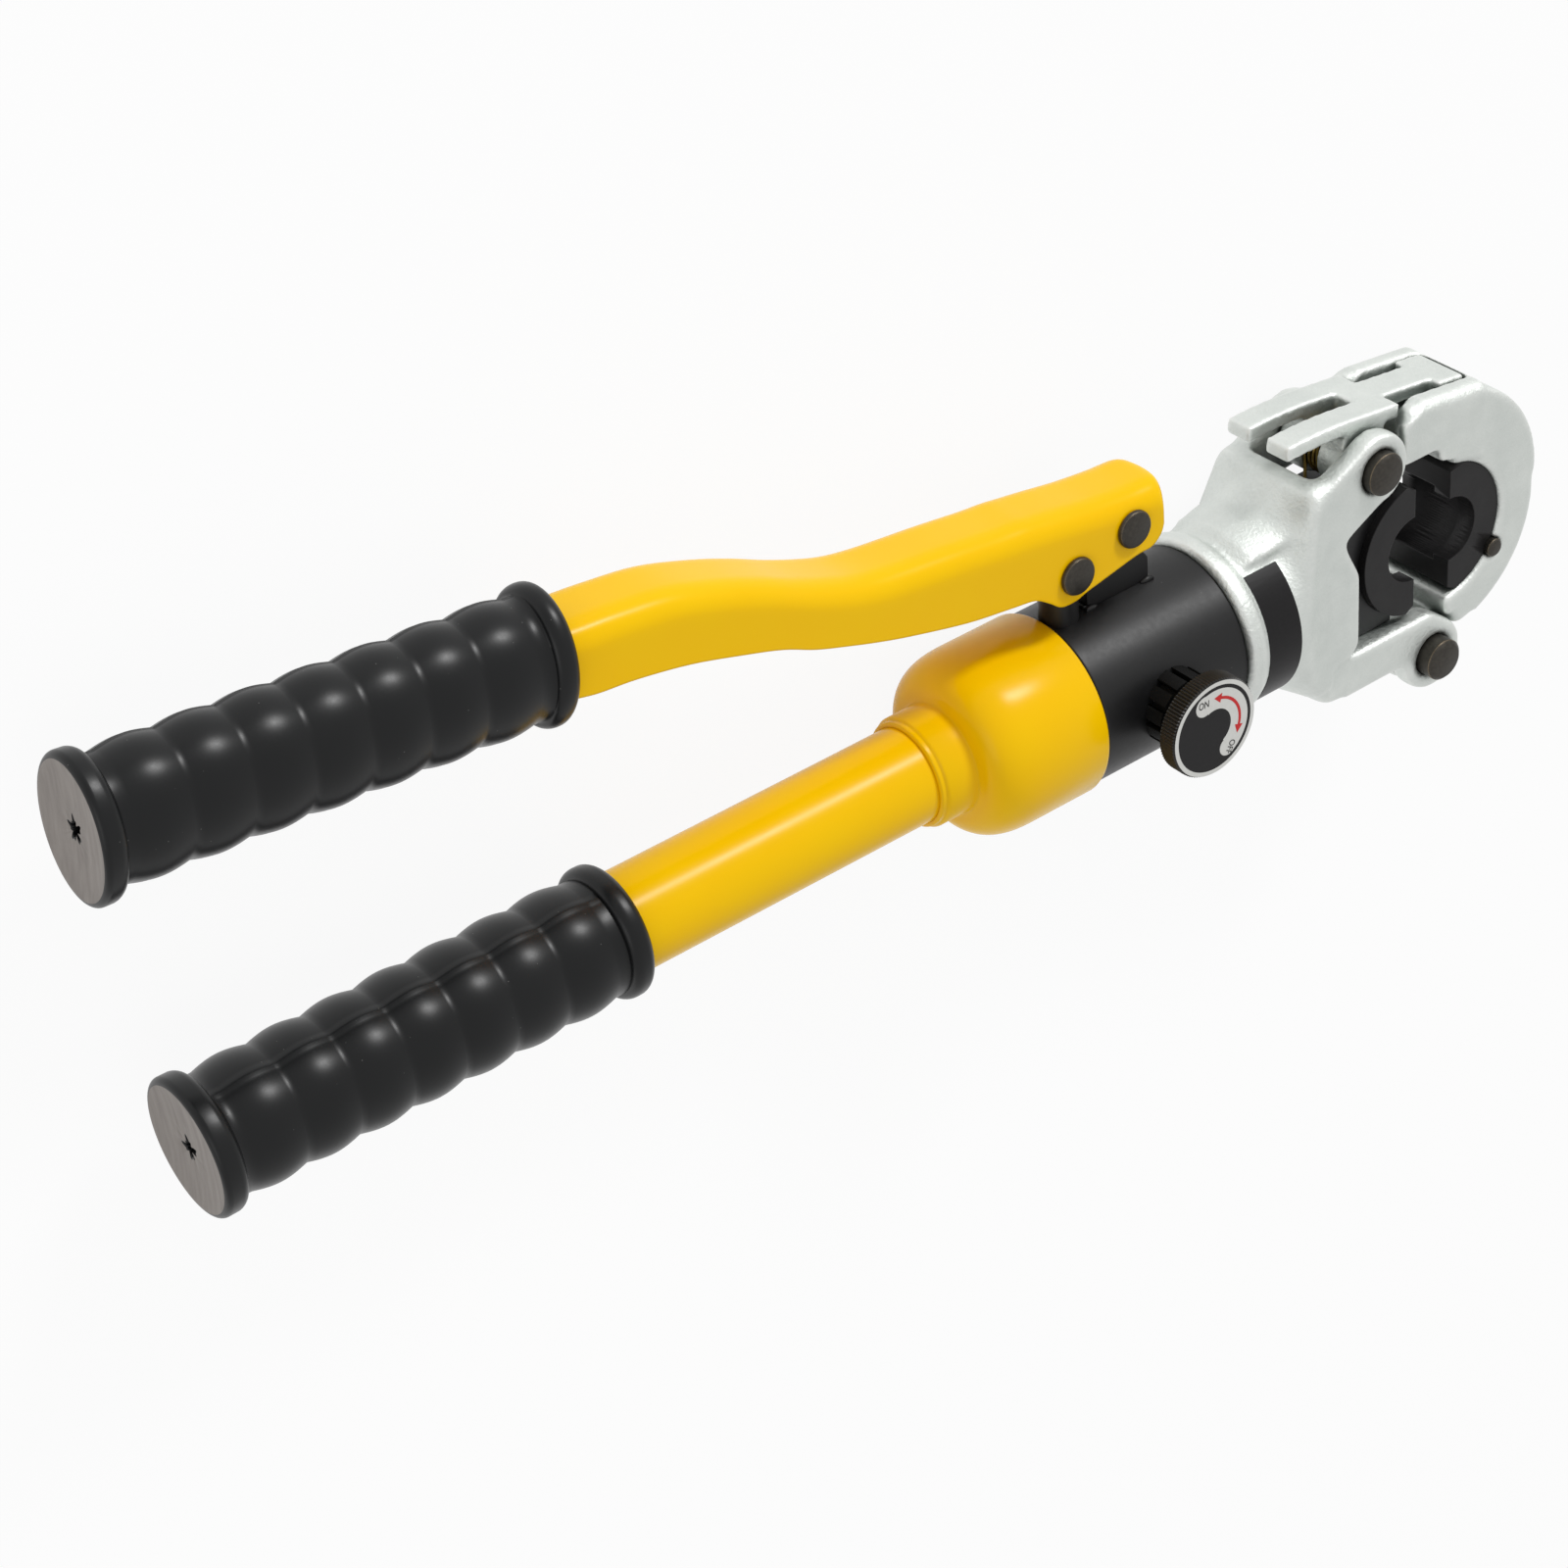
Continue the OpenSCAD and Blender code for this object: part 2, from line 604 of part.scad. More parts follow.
// Torsion spring on the latch pin, one leg against the head
latch_wire_r = 0.5;
latch_coil_r = pin_r + 1.2;
latch_curls = 3;
latch_pitch = 1.6;
latch_coil = [for (i = [0 : latch_curls * 8]) let (a = 180 - 45 * i)
    [latch_x + latch_coil_r * cos(a), latch_y + latch_coil_r * sin(a),
        (i / 8 - latch_curls / 2) * latch_pitch]];
latch_leg = [latch_x - latch_coil_r, latch_y - 10, -latch_curls / 2 * latch_pitch];
latch_leg_up = [latch_x - latch_coil_r + 0.6, latch_y + 12, latch_curls / 2 * latch_pitch];
module latch_spring() {
    color("goldenrod") wire(concat([latch_leg], latch_coil, [latch_leg_up]), latch_wire_r);
}

// Half dies with two pressing lips and a relief groove between them
module die_half() {
    difference() {
        zcyl(-die_arc_shift, 0, die_r, -die_w / 2, die_w / 2);
        translate([-beyond, -beyond, -beyond]) cube([beyond, 2 * beyond, 2 * beyond]);
        for (side = [0, 1]) mirror([0, side, 0]) plate([[-1, die_r - 3], [-1, die_r + 9],
            [die_bevel, die_r + 9], [die_bevel, die_r + 0.4]], die_w);
        zcyl(0, 0, lip_r, -die_w, die_w);
        zcyl(0, 0, groove_r, -die_w / 2 + lip_w, die_w / 2 - lip_w);
    }
}
// Retaining button beside the fixed die, with its spring in a blind bore
button_x = (die_r - die_arc_shift + 1.4) * cos(button_angle);
button_y = (die_r + 1.4) * sin(button_angle);
button_out = 0.6;
button_z = jaw_w / 2 + button_out - button_len;
button_floor = button_z - spring_room;
module die_button_room() {
    zcyl(button_x, button_y, button_r + fit_gap, button_floor, jaw_w);
}
module jaw_die_button() {
    color("#404040") zcyl(button_x, button_y, button_r, button_z, jaw_w / 2 + button_out);
}
button_wire_r = 0.35;
button_coil_r = button_r - 0.9;
button_coil = coil([button_x, button_y, button_floor + 0.45], [0, 0, 1],
    button_coil_r, spring_room - 0.9, 2.5);
module jaw_button_spring() {
    color("gray") wire(button_coil, button_wire_r);
}
module fixed_die() {
    color("#303030") difference() {
        die_half();
        die_button_room();
    }
}
module on_ram() {
    translate([-press_gap, 0, 0]) mirror([1, 0, 0]) children();
}
module moving_die() {
    color("#303030") on_ram() die_half();
}
module die_holder() {
    color("#1c1c1c") difference() {
        block(holder_back_x, holder_front_x, -holder_half_y, holder_half_y, holder_w / 2);
        zcyl(-press_gap + die_arc_shift, 0, die_r + seat_gap, -fork_w, fork_w);
        xcyl(4 + fit_gap, holder_back_x - 1, 0);
        xcyl(6.7, holder_back_x + 5, 0);
    }
}
module holder_screw() {
    color("dimgray") difference() {
        union() {
            xcyl(4, holder_back_x - 14, holder_back_x + 5 + eps);
            xcyl(6.5, holder_back_x + 5, holder_back_x + 10);
        }
        xcyl(3.4, holder_back_x + 6.5, holder_back_x + 11, $fn = 6);
    }
}
// Ram: piston with its seal groove and the rod that carries the die holder
module ram() {
    groove_x = piston_x0 + piston_len / 2;
    color("lightgray") difference() {
        turned([[piston_x0, 0], [piston_x0, ram_bore - fit_gap - 0.6], [piston_x0 + 0.6, ram_bore - fit_gap],
            [groove_x - 1.7, ram_bore - fit_gap], [groove_x - 1.7, ram_bore - 3],
            [groove_x + 1.7, ram_bore - 3], [groove_x + 1.7, ram_bore - fit_gap],
            [piston_x1, ram_bore - fit_gap], [piston_x1, rod_r],
            [holder_back_x, rod_r], [holder_back_x, 0]]);
        xcyl(4 + fit_gap, holder_back_x - 15, holder_back_x + 1);
    }
}
module ram_seal() {
    color("black") xring(piston_x0 + piston_len / 2, ram_bore - 1.55, 1.4);
}
// Return spring round the rod, as one unbroken coil
spring_x0 = piston_x1 + spring_wire_r + 0.2;
spring_x1 = cavity_end_x - seat_ring_t - spring_wire_r - 0.2;
return_coil = coil([spring_x0, 0, 0], [1, 0, 0], spring_mean_r, spring_x1 - spring_x0, spring_curls);
module return_spring() {
    color("gray") wire(return_coil, spring_wire_r);
}
module spring_seat() {
    color("gray") difference() {
        xcyl(cavity_r - 0.1, cavity_end_x - seat_ring_t, cavity_end_x);
        xcyl(rod_r + 0.3, cavity_end_x - seat_ring_t - 1, cavity_end_x + 1);
    }
}

// Black cylinder body: ram bore, pump bore, valve bores and the two threaded ends
relief_x = knob_x - 9.5;
relief_r = 3;
relief_seat_y = -9;
relief_room = 8;
valve_low_z = 10;
module cylinder_body() {
    color("#202020") difference() {
        union() {
            xcyl(cyl_r, mouth_x + 0.2, seat_x);
            xcyl(thread_r, seat_x - eps, seat_x + thread_len);
            xcyl(tail_r, mouth_x - tail_len, mouth_x + eps);
        }
        xcyl(ram_bore, bore_end_x, seat_x + thread_len + 1);
        ycyl(pump_x, 0, barrel_r + fit_gap, barrel_base_y, 40);
        zcyl(knob_x, 0, spindle_r + fit_gap, valve_low_z, 40);
        ycyl(relief_x, 0, relief_r + fit_gap, -40, relief_seat_y);
        xcyl(2, mouth_x - tail_len - 1, pump_x);
        xcyl(1.5, pump_x - 1, bore_end_x + 1);
        xring(mouth_x - tail_len / 2, tail_r, 1.3);
    }
}
module cover_seal() {
    color("black") xring(mouth_x - tail_len / 2, tail_r - 0.6, 0.6);
}
module lever_bracket() {
    foot_x0 = fulcrum_x - bracket_back;
    foot_x1 = fulcrum_x + bracket_front;
    foot_y = cyl_r + bracket_foot_h;
    waist_y = fulcrum_y - bracket_waist;
    color("#202020") difference() {
        union() {
            plate([[foot_x0, cyl_r - 6], [foot_x1, cyl_r - 6], [foot_x1, foot_y],
                [fulcrum_x + bracket_r, waist_y], [fulcrum_x + bracket_r, fulcrum_y],
                [fulcrum_x - bracket_r, fulcrum_y],
                [fulcrum_x - bracket_r, waist_y], [foot_x0, foot_y]], bracket_half_z);
            zcyl(fulcrum_x, fulcrum_y, bracket_r, -bracket_half_z, bracket_half_z);
        }
        xcyl(cyl_r + fit_gap, mouth_x, seat_x);
        zcyl(fulcrum_x, fulcrum_y, lever_pin_r + fit_gap, -lever_w, lever_w);
    }
}
module pump_barrel() {
    color("#202020") difference() {
        ycyl(pump_x, 0, barrel_r, barrel_base_y, barrel_top_y);
        ycyl(pump_x, 0, plunger_r + fit_gap, chamber_y, barrel_top_y + 1);
        ycyl(pump_x, 0, plunger_r + 1.3, barrel_top_y - 8, barrel_top_y - 5);
        ycyl(pump_x, 0, 1.2, barrel_base_y - 1, chamber_y + 1);
    }
}
// Plunger with a slotted eye that the lever's pin slides in
module pump_plunger() {
    eye_x = pin_x + 0.1;
    color("lightgray") difference() {
        union() {
            ycyl(pump_x, 0, plunger_r, plunger_low_y, plunger_y - eye_half_y + 1);
            block(eye_x - eye_half_x, pump_x + plunger_r, plunger_y - eye_half_y, plunger_y + eye_half_y,
                eye_half_z);
        }
        for (dx = [-eye_slot, eye_slot])
            zcyl(eye_x + dx, plunger_y, lever_pin_r + side_gap, -lever_w, lever_w);
        block(eye_x - eye_slot, eye_x + eye_slot, plunger_y - lever_pin_r - side_gap,
            plunger_y + lever_pin_r + side_gap, lever_w);
    }
}
module plunger_seal() {
    color("black") translate([pump_x, barrel_top_y - 6.5, 0]) rotate([-90, 0, 0]) rotate_extrude()
        translate([plunger_r + 0.65, 0]) circle(0.55);
}
// Rivet-like pin with a shallow domed head each side of the lever
module domed_pin(x, y) {
    half = lever_w / 2 + 0.25;
    translate([x, y, 0]) rotate_extrude() polygon([[0, -half - head_out],
        [pin_head_r - 1.6, -half - head_out + 0.3], [pin_head_r, -half - head_out + 1],
        [pin_head_r, -half], [lever_pin_r, -half], [lever_pin_r, half],
        [pin_head_r, half], [pin_head_r, half + head_out - 1], [pin_head_r - 1.6, half + head_out - 0.3],
        [0, half + head_out]]);
}
module plunger_pin() {
    color("#302c28") domed_pin(pin_x, plunger_y);
}
module fulcrum_pin() {
    color("#302c28") domed_pin(fulcrum_x, fulcrum_y);
}

// Lever: pressed channel with a rounded top, dropping to the pump lobe and rising to the grip
function lever_point(dx, dy) = [fulcrum_x - dx, fulcrum_y + dy];
function grip_point(along, up) = lever_point(grip_axis_dx, grip_axis_dy)
    + [-along * cos(grip_slope) + up * sin(grip_slope), along * sin(grip_slope) + up * cos(grip_slope)];
// Half of an arch from the bottom edge up one side and over to the middle
function arch_half(half_z, top, low, r) = concat([[low, half_z]], [for (a = [0 : 18 : 90])
    [top - r + r * sin(a), half_z - r + r * cos(a)]]);
function arch(half_z, top, low, r) = let (h = arch_half(half_z, top, low, r))
    concat(h, [for (i = [len(h) - 1 : -1 : 0]) [h[i][0], -h[i][1]]]);
function channel(half_z, top, low, r, t) = let (inner = arch(half_z - t, top - t, low, max(r - t, 0.5)))
    concat(arch(half_z, top, low, r), [for (i = [len(inner) - 1 : -1 : 0]) inner[i]]);
// Closed skin over rings of equal length, each a list of points
module skin(rings) {
    n = len(rings[0]);
    last = len(rings) - 1;
    walls = [for (i = [0 : last - 1], k = [0 : n - 1]) let (a = i * n, b = (k + 1) % n)
        each [[a + k, a + n + b, a + b], [a + k, a + n + k, a + n + b]]];
    start = [for (k = [0 : n / 2 - 2]) each [[k, k + 1, n - 1 - k], [k + 1, n - 2 - k, n - 1 - k]]];
    finish = [for (f = start) [f[0] + last * n, f[2] + last * n, f[1] + last * n]];
    polyhedron([for (r = rings) each r], concat(walls, start, finish));
}
module lever() {
    shell = [for (s = lever_stations) let (p = lever_point(s[0] - lever_nose, 0),
        c = channel(lever_w / 2, s[1], s[2], lever_edge_r, lever_t),
        swell = nose_swell * max(0, 1 - s[0] / nose_run))
        [for (q = c) [p[0] + swell * (1 - pow(2 * q[1] / lever_w, 2)), p[1] + q[0], q[1]]]];
    bar = [for (along = [-10, bar_len]) let (p = grip_point(along, 0),
        c = channel(bar_half_z, bar_half_y, -bar_half_y, bar_edge_r, lever_t))
        [for (q = c) [p[0], p[1] + q[0], q[1]]]];
    color("gold") difference() {
        skin(concat(shell, bar));
        zcyl(fulcrum_x, fulcrum_y, lever_pin_r + fit_gap, -lever_w, lever_w);
        zcyl(pin_x, plunger_y, lever_pin_r + fit_gap, -lever_w, lever_w);
    }
}
// Oval rubber sleeve with swelling rings and an end bead each way
function ripple(s) = abs(sin(180 * bulge_count * s));
function bead(along, length) = along < grip_bead_w || along > length - grip_bead_w;
module lever_grip() {
    steps = bulge_count * 6;
    sides = 32;
    stations = concat([0, 0.6, grip_bead_w - 0.6, grip_bead_w], [for (i = [0 : steps])
        grip_bead_w + 0.4 + (lever_grip_len - 2 * grip_bead_w - 0.8) * i / steps],
        [lever_grip_len - grip_bead_w, lever_grip_len - grip_bead_w + 0.6,
            lever_grip_len - 0.6, lever_grip_len]);
    inset = [for (s = stations) let (k = (s - grip_bead_w) / (lever_grip_len - 2 * grip_bead_w))
        bead(s, lever_grip_len) ? (s == 0 || s == lever_grip_len ? 0.8 : 0) : 3.2 - bulge_h * ripple(k)];
    points = [for (i = [0 : len(stations) - 1], k = [0 : sides - 1]) let (a = 360 * k / sides,
        p = grip_point(stations[i], (lever_grip_hy - inset[i]) * cos(a)))
        [p[0], p[1], (lever_grip_hz - inset[i]) * sin(a)]];
    rings = len(stations);
    walls = [for (i = [0 : rings - 2], k = [0 : sides - 1]) let (a = i * sides, b = (k + 1) % sides)
        each [[a + k, a + b, a + sides + b], [a + k, a + sides + b, a + sides + k]]];
    front = [[for (k = [sides - 1 : -1 : 0]) k]];
    back = [[for (k = [0 : sides - 1]) (rings - 1) * sides + k]];
    bar_start = grip_point(-1, 0);
    room = 0.3;
    color("#1c1c1c") difference() {
        polyhedron(points, concat(walls, front, back));
        translate([bar_start[0], bar_start[1], 0]) rotate(180 - grip_slope)
            translate([0, -bar_half_y - room, -bar_half_z - room])
            cube([bar_len + 2, 2 * bar_half_y + 2 * room, 2 * bar_half_z + 2 * room]);
    }
}

// Yellow reservoir cover: bell over the cylinder's tail, shoulder and neck collar
module reservoir_cover() {
    start = shoulder_x + shoulder_len;
    arc = [for (a = [90 : -9 : 0]) [start - shoulder_len * sin(a), neck_r + shoulder_h * cos(a)]];
    color("gold") difference() {
        turned(concat([[neck_x, 0], [neck_x, neck_r - 0.8], [neck_x + 0.8, neck_r]], arc,
            [[mouth_x - 1, cover_r], [mouth_x, cover_r - 1], [mouth_x, 0]]));
        xcyl(cover_in + 0.02, mouth_x - tail_len - 0.5, mouth_x + 1);
        xcyl(cover_in - 3.5, mouth_x - tail_len - 8, mouth_x);
        xcyl(cover_in - 8, shoulder_x + 3, mouth_x);
        xcyl(tube_r + fit_gap, neck_x - 1, shoulder_x + 4);
    }
}
module handle_tube() {
    color("gold") difference() {
        xcyl(tube_r, grip_end_x + grip_wall_end + 0.5, shoulder_x + cover_wall);
        xcyl(tube_r - tube_wall, grip_end_x, shoulder_x + 10);
    }
}
module fixed_grip() {
    steps = bulge_count * 8;
    body_x0 = grip_end_x + grip_bead_w + 1.4;
    body_len = grip_len - 2 * grip_bead_w - 2.8;
    wave = [for (i = [0 : steps])
        [body_x0 + body_len * i / steps, grip_valley_r + bulge_h * ripple(i / steps)]];
    bead_end = [[0, 3.5], [0.8, 1.8], [2.2, 0.4], [3.6, 0], [5, 0.4], [6.4, 1.8], [7, 2.8]];
    color("#1c1c1c") difference() {
        turned(concat([[grip_end_x, 0]], [for (b = bead_end) [grip_end_x + b[0], grip_bead_r - b[1]]], wave,
            [for (i = [len(bead_end) - 1 : -1 : 0])
                [grip_x - bead_end[i][0], grip_bead_r - 0.5 - bead_end[i][1]]],
            [[grip_x, 0]]));
        xcyl(tube_r + fit_gap, grip_end_x + grip_wall_end, grip_x + 1);
        xcyl(cut_hole_r, grip_end_x - 1, grip_end_x + grip_wall_end + 1);
    }
}
// Rubber oil bag behind the cylinder, tied to its intake spout
module oil_bladder() {
    front_x = mouth_x - tail_len - 1;
    color("#202020") difference() {
        union() {
            xcyl(bladder_r, front_x - bladder_len, front_x);
            translate([front_x - bladder_len, 0, 0]) sphere(bladder_r);
        }
        xcyl(bladder_r - 1.5, front_x - bladder_len + 2, front_x + 1);
    }
}
module bladder_spout() {
    front_x = mouth_x - tail_len;
    color("gray") difference() {
        xcyl(bladder_r - 1.5 - fit_gap, front_x - 9, front_x);
        xcyl(2, front_x - 10, front_x + 1);
    }
}

// Release valve: knurled knob, printed disc, spindle and ball
module release_knob() {
    z1 = knob_face_z;
    z0 = z1 - knob_t;
    color("#202020") difference() {
        translate([knob_x, 0, 0]) rotate_extrude() polygon([[0, z0], [knob_r - 2.5, z0], [knob_r, z0 + 2],
            [knob_r, z1 - 0.4], [knob_r - 0.4, z1], [0, z1]]);
        zcyl(knob_x, 0, spindle_r + fit_gap, z0 - 1, z1 - 1.5);
    }
}
module knob_label() {
    color("white") zcyl(knob_x, 0, knob_r - 0.5, knob_face_z, knob_face_z + 0.3);
}
module release_spindle() {
    tip = 3;
    low = valve_low_z + 3.2;
    color("gray") translate([knob_x, 0, 0]) rotate_extrude() polygon([[0, low], [1, low],
        [spindle_r, low + tip], [spindle_r, cyl_r - 4], [spindle_r - 1, cyl_r - 4],
        [spindle_r - 1, cyl_r - 2], [spindle_r, cyl_r - 2], [spindle_r, knob_face_z - 1.7],
        [0, knob_face_z - 1.7]]);
}
module spindle_seal() {
    color("black") translate([knob_x, 0, cyl_r - 3]) rotate_extrude() translate([spindle_r - 0.45, 0])
        circle(0.45);
}
module release_ball() {
    color("lightgray") translate([knob_x, 0, valve_low_z + 1.6]) sphere(1.5);
}
// Ribbed collar that guards the spindle under the knob
module valve_collar() {
    ribs = 12;
    top_z = knob_face_z - knob_t - 2.5;
    color("#202020") difference() {
        zcyl(knob_x, 0, valve_collar_r, 0, top_z);
        xcyl(cyl_r + fit_gap, mouth_x, seat_x);
        zcyl(knob_x, 0, spindle_r + 0.4, 0, knob_face_z);
        for (i = [0 : ribs - 1]) translate([knob_x, 0, 0]) rotate(360 * i / ribs)
            translate([valve_collar_r - 2, -0.9, 0]) cube([4, 1.8, knob_face_z]);
    }
}
module relief_screw() {
    color("#202020") difference() {
        ycyl(relief_x, 0, relief_r, -cyl_r + 0.6, relief_seat_y - relief_room);
        translate([relief_x - 6, -cyl_r - 1, -0.6]) cube([12, 3, 1.2]);
    }
}
relief_ball_r = 1.8;
relief_wire_r = 0.4;
relief_coil = coil([relief_x, relief_seat_y - relief_room + 0.5, 0], [0, 1, 0], relief_r - 1,
    relief_room - 2 * relief_ball_r - 1.1, 2.5);
module relief_spring() {
    color("gray") wire(relief_coil, relief_wire_r);
}
module relief_ball() {
    color("lightgray") translate([relief_x, relief_seat_y - relief_ball_r - 0.1, 0]) sphere(relief_ball_r);
}
module intake_ball() {
    color("lightgray") translate([pump_x - barrel_r - 3, 0, 0]) sphere(1.9);
}
module outlet_ball() {
    color("lightgray") translate([pump_x + barrel_r + 4, 0, 0]) sphere(1.4);
}
echo(latch_spring_gap = coil_gap(latch_coil, 8, latch_wire_r));
echo(return_spring_gap = coil_gap(return_coil, 8, spring_wire_r));
echo(button_spring_gap = coil_gap(button_coil, 8, button_wire_r));
echo(relief_spring_gap = coil_gap(relief_coil, 8, relief_wire_r));

head_yoke();
head_label();
swing_jaw();
hinge_pin();
latch();
latch_pin();
pin_clips();
latch_spring();
fixed_die();
moving_die();
jaw_die_button();
jaw_button_spring();
die_holder();
holder_screw();
ram();
ram_seal();
return_spring();
spring_seat();
cylinder_body();
lever_bracket();
pump_barrel();
pump_plunger();
plunger_seal();
plunger_pin();
fulcrum_pin();
lever();
lever_grip();
reservoir_cover();
cover_seal();
handle_tube();
fixed_grip();
oil_bladder();
bladder_spout();
release_knob();
knob_label();
release_spindle();
valve_collar();
spindle_seal();
release_ball();
relief_screw();
relief_spring();
relief_ball();
intake_ball();
outlet_ball();
head_set_screw();
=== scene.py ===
# %% [markdown]
# # Dressing a hand-pumped crimping tool
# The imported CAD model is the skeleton: every pin, die and valve sits where it works. This lesson gives that
# skeleton its real surfaces: zinc-plated castings, black coated steel, yellow powder coat and moulded rubber.
# Loading comes first, because every later cell asks the frame where things are.

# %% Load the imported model
import math

import bmesh
import bpy
from mathutils import Matrix, Vector


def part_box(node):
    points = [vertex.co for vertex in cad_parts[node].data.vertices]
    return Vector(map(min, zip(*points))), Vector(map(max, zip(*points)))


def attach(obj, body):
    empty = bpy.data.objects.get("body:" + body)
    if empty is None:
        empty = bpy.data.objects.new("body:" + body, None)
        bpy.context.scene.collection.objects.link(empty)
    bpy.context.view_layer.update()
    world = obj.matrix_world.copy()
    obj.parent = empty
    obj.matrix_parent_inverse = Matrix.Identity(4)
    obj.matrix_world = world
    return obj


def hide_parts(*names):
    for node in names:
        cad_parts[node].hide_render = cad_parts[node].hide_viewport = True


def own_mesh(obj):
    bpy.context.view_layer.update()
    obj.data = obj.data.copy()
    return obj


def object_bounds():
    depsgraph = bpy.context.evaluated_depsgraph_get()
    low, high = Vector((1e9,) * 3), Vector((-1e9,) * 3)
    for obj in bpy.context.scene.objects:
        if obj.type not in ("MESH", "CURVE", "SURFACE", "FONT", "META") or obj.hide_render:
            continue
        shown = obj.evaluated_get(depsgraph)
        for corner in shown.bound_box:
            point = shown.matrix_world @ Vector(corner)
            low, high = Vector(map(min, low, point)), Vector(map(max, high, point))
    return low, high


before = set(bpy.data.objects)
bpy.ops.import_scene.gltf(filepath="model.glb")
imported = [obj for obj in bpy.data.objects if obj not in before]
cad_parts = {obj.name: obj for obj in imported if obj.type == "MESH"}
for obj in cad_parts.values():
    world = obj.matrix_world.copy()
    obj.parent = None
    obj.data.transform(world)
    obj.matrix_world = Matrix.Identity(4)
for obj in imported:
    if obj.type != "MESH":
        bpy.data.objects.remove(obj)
cad_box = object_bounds()
MM = 0.001
scene = bpy.context.scene
print("CAD box in mm:", [[round(v / MM, 1) for v in corner] for corner in cad_box])

# %% [markdown]
# ## Camera, floor and light
# The photograph was taken from above the handle ends with a longish lens. The camera's three axes were worked
# out from the round parts of the tool, so they are given as they are, instead of aiming at a target.
# The tool lies on its side on a white table, in a bright room with one softbox far behind the head.

# %% Camera at the photograph's place


def linked(name, data):
    """A new object of this data, at the origin."""
    made = bpy.data.objects.new(name, data)
    scene.collection.objects.link(made)
    return made


camera_right = Vector((0.7888104675, -0.0784691708, 0.6096069517))
camera_down = Vector((-0.4037810929, -0.8139286410, 0.4177092246))
camera_ahead = Vector((0.4633992613, -0.5756411700, -0.6737197994))
camera_place = Vector((-681.30658, 576.06788, 654.39991)) * MM
photo_camera = linked("photo_camera", bpy.data.cameras.new("photo_camera"))
photo_camera.data.sensor_width = 36
photo_camera.data.lens = 85.5
turn = Matrix((camera_right, -camera_down, -camera_ahead)).transposed()
photo_camera.matrix_world = Matrix.Translation(camera_place) @ turn.to_4x4()
scene.camera = photo_camera
print("camera looks along", [round(v, 3) for v in camera_ahead])

# %% One way to add a shader node, and one way to read a colour


def linear(hex_colour):
    """An sRGB hex colour as the linear RGBA that Blender's sockets take."""
    channels = [int(hex_colour[i:i + 2], 16) / 255 for i in (1, 3, 5)]
    return [c / 12.92 if c <= 0.04045 else ((c + 0.055) / 1.055) ** 2.4 for c in channels] + [1]


def add(tree, kind, inputs=None, **settings):
    """Add a node and return its outputs: settings are its own properties, an input is a value or another output."""
    node = tree.nodes.new("ShaderNode" + kind)
    for name, value in settings.items():
        setattr(node, name, value)
    for socket, value in (inputs or {}).items():
        if isinstance(value, bpy.types.NodeSocket):
            tree.links.new(value, node.inputs[socket])
        else:
            node.inputs[socket].default_value = value
    return node.outputs


# %% [markdown]
# The table is white and stays white in the picture, as on a product page. Where a ray from the camera or a
# reflection meets it, most of what it gives is its own plain white; the rest is lit paint, which keeps a soft
# shadow under the tool. Rays that miss the table meet a pale grey wall.

# %% White table and world
scene.view_settings.view_transform = "Standard"
table_half, middle_x, table_below_mm = 3, -0.2, 0.2
own_white_share, room_light, wall_shown = 0.92, 0.56, 0.74


def seen_directly(tree):
    """1 for rays from the camera, a reflection or a clear material, 0 for the light that falls on surfaces."""
    ray = add(tree, "LightPath")
    first = add(tree, "Math", {0: ray["Is Camera Ray"], 1: ray["Is Glossy Ray"]}, operation="MAXIMUM")[0]
    return add(tree, "Math", {0: first, 1: ray["Is Transmission Ray"]}, operation="MAXIMUM")[0]


def meshed(name, bm):
    """The bmesh as a mesh; the bmesh is freed."""
    mesh = bpy.data.meshes.new(name)
    bm.to_mesh(mesh)
    bm.free()
    return mesh


table_white = bpy.data.materials.new("white_painted_table")
table_white.use_nodes = True
tree = table_white.node_tree
tree.nodes.clear()
paint = add(tree, "BsdfDiffuse", {"Color": linear("#F4F4F4")})[0]
own_white = add(tree, "Emission", {"Color": linear("#FFFFFF"), "Strength": 1.0})[0]
share = add(tree, "Math", {0: seen_directly(tree), 1: own_white_share}, operation="MULTIPLY")[0]
mixed = add(tree, "MixShader", {0: share, 1: paint, 2: own_white})[0]
add(tree, "OutputMaterial", {"Surface": mixed})

bm = bmesh.new()
bmesh.ops.create_grid(bm, x_segments=1, y_segments=1, size=table_half)
bmesh.ops.translate(bm, verts=bm.verts, vec=(middle_x, 0, cad_box[0][2] - table_below_mm * MM))
table = linked("table", meshed("table", bm))
table.data.materials.append(table_white)

world = bpy.data.worlds.new("white_studio")
world.use_nodes = True
scene.world = world
tree = world.node_tree
tree.nodes.clear()
room = add(tree, "Background", {"Color": linear("#FFFFFF"), "Strength": room_light})[0]
shown = add(tree, "Background", {"Color": linear("#FFFFFF"), "Strength": wall_shown})[0]
mixed = add(tree, "MixShader", {0: seen_directly(tree), 1: room, 2: shown})[0]
add(tree, "OutputWorld", {"Surface": mixed})
print("table at z", round(table.data.vertices[0].co.z / MM, 2), "mm")

# %% [markdown]
# The streaks on the round parts run along their upper lever side, so the softbox stands low behind the head on
# that side, and far away, which keeps a streak along the whole length. Its size decides how soft the streak on
# the black cylinder is. A weak lamp beyond the handle ends lights the trimmed ends of the grips.

# %% Softbox and fill


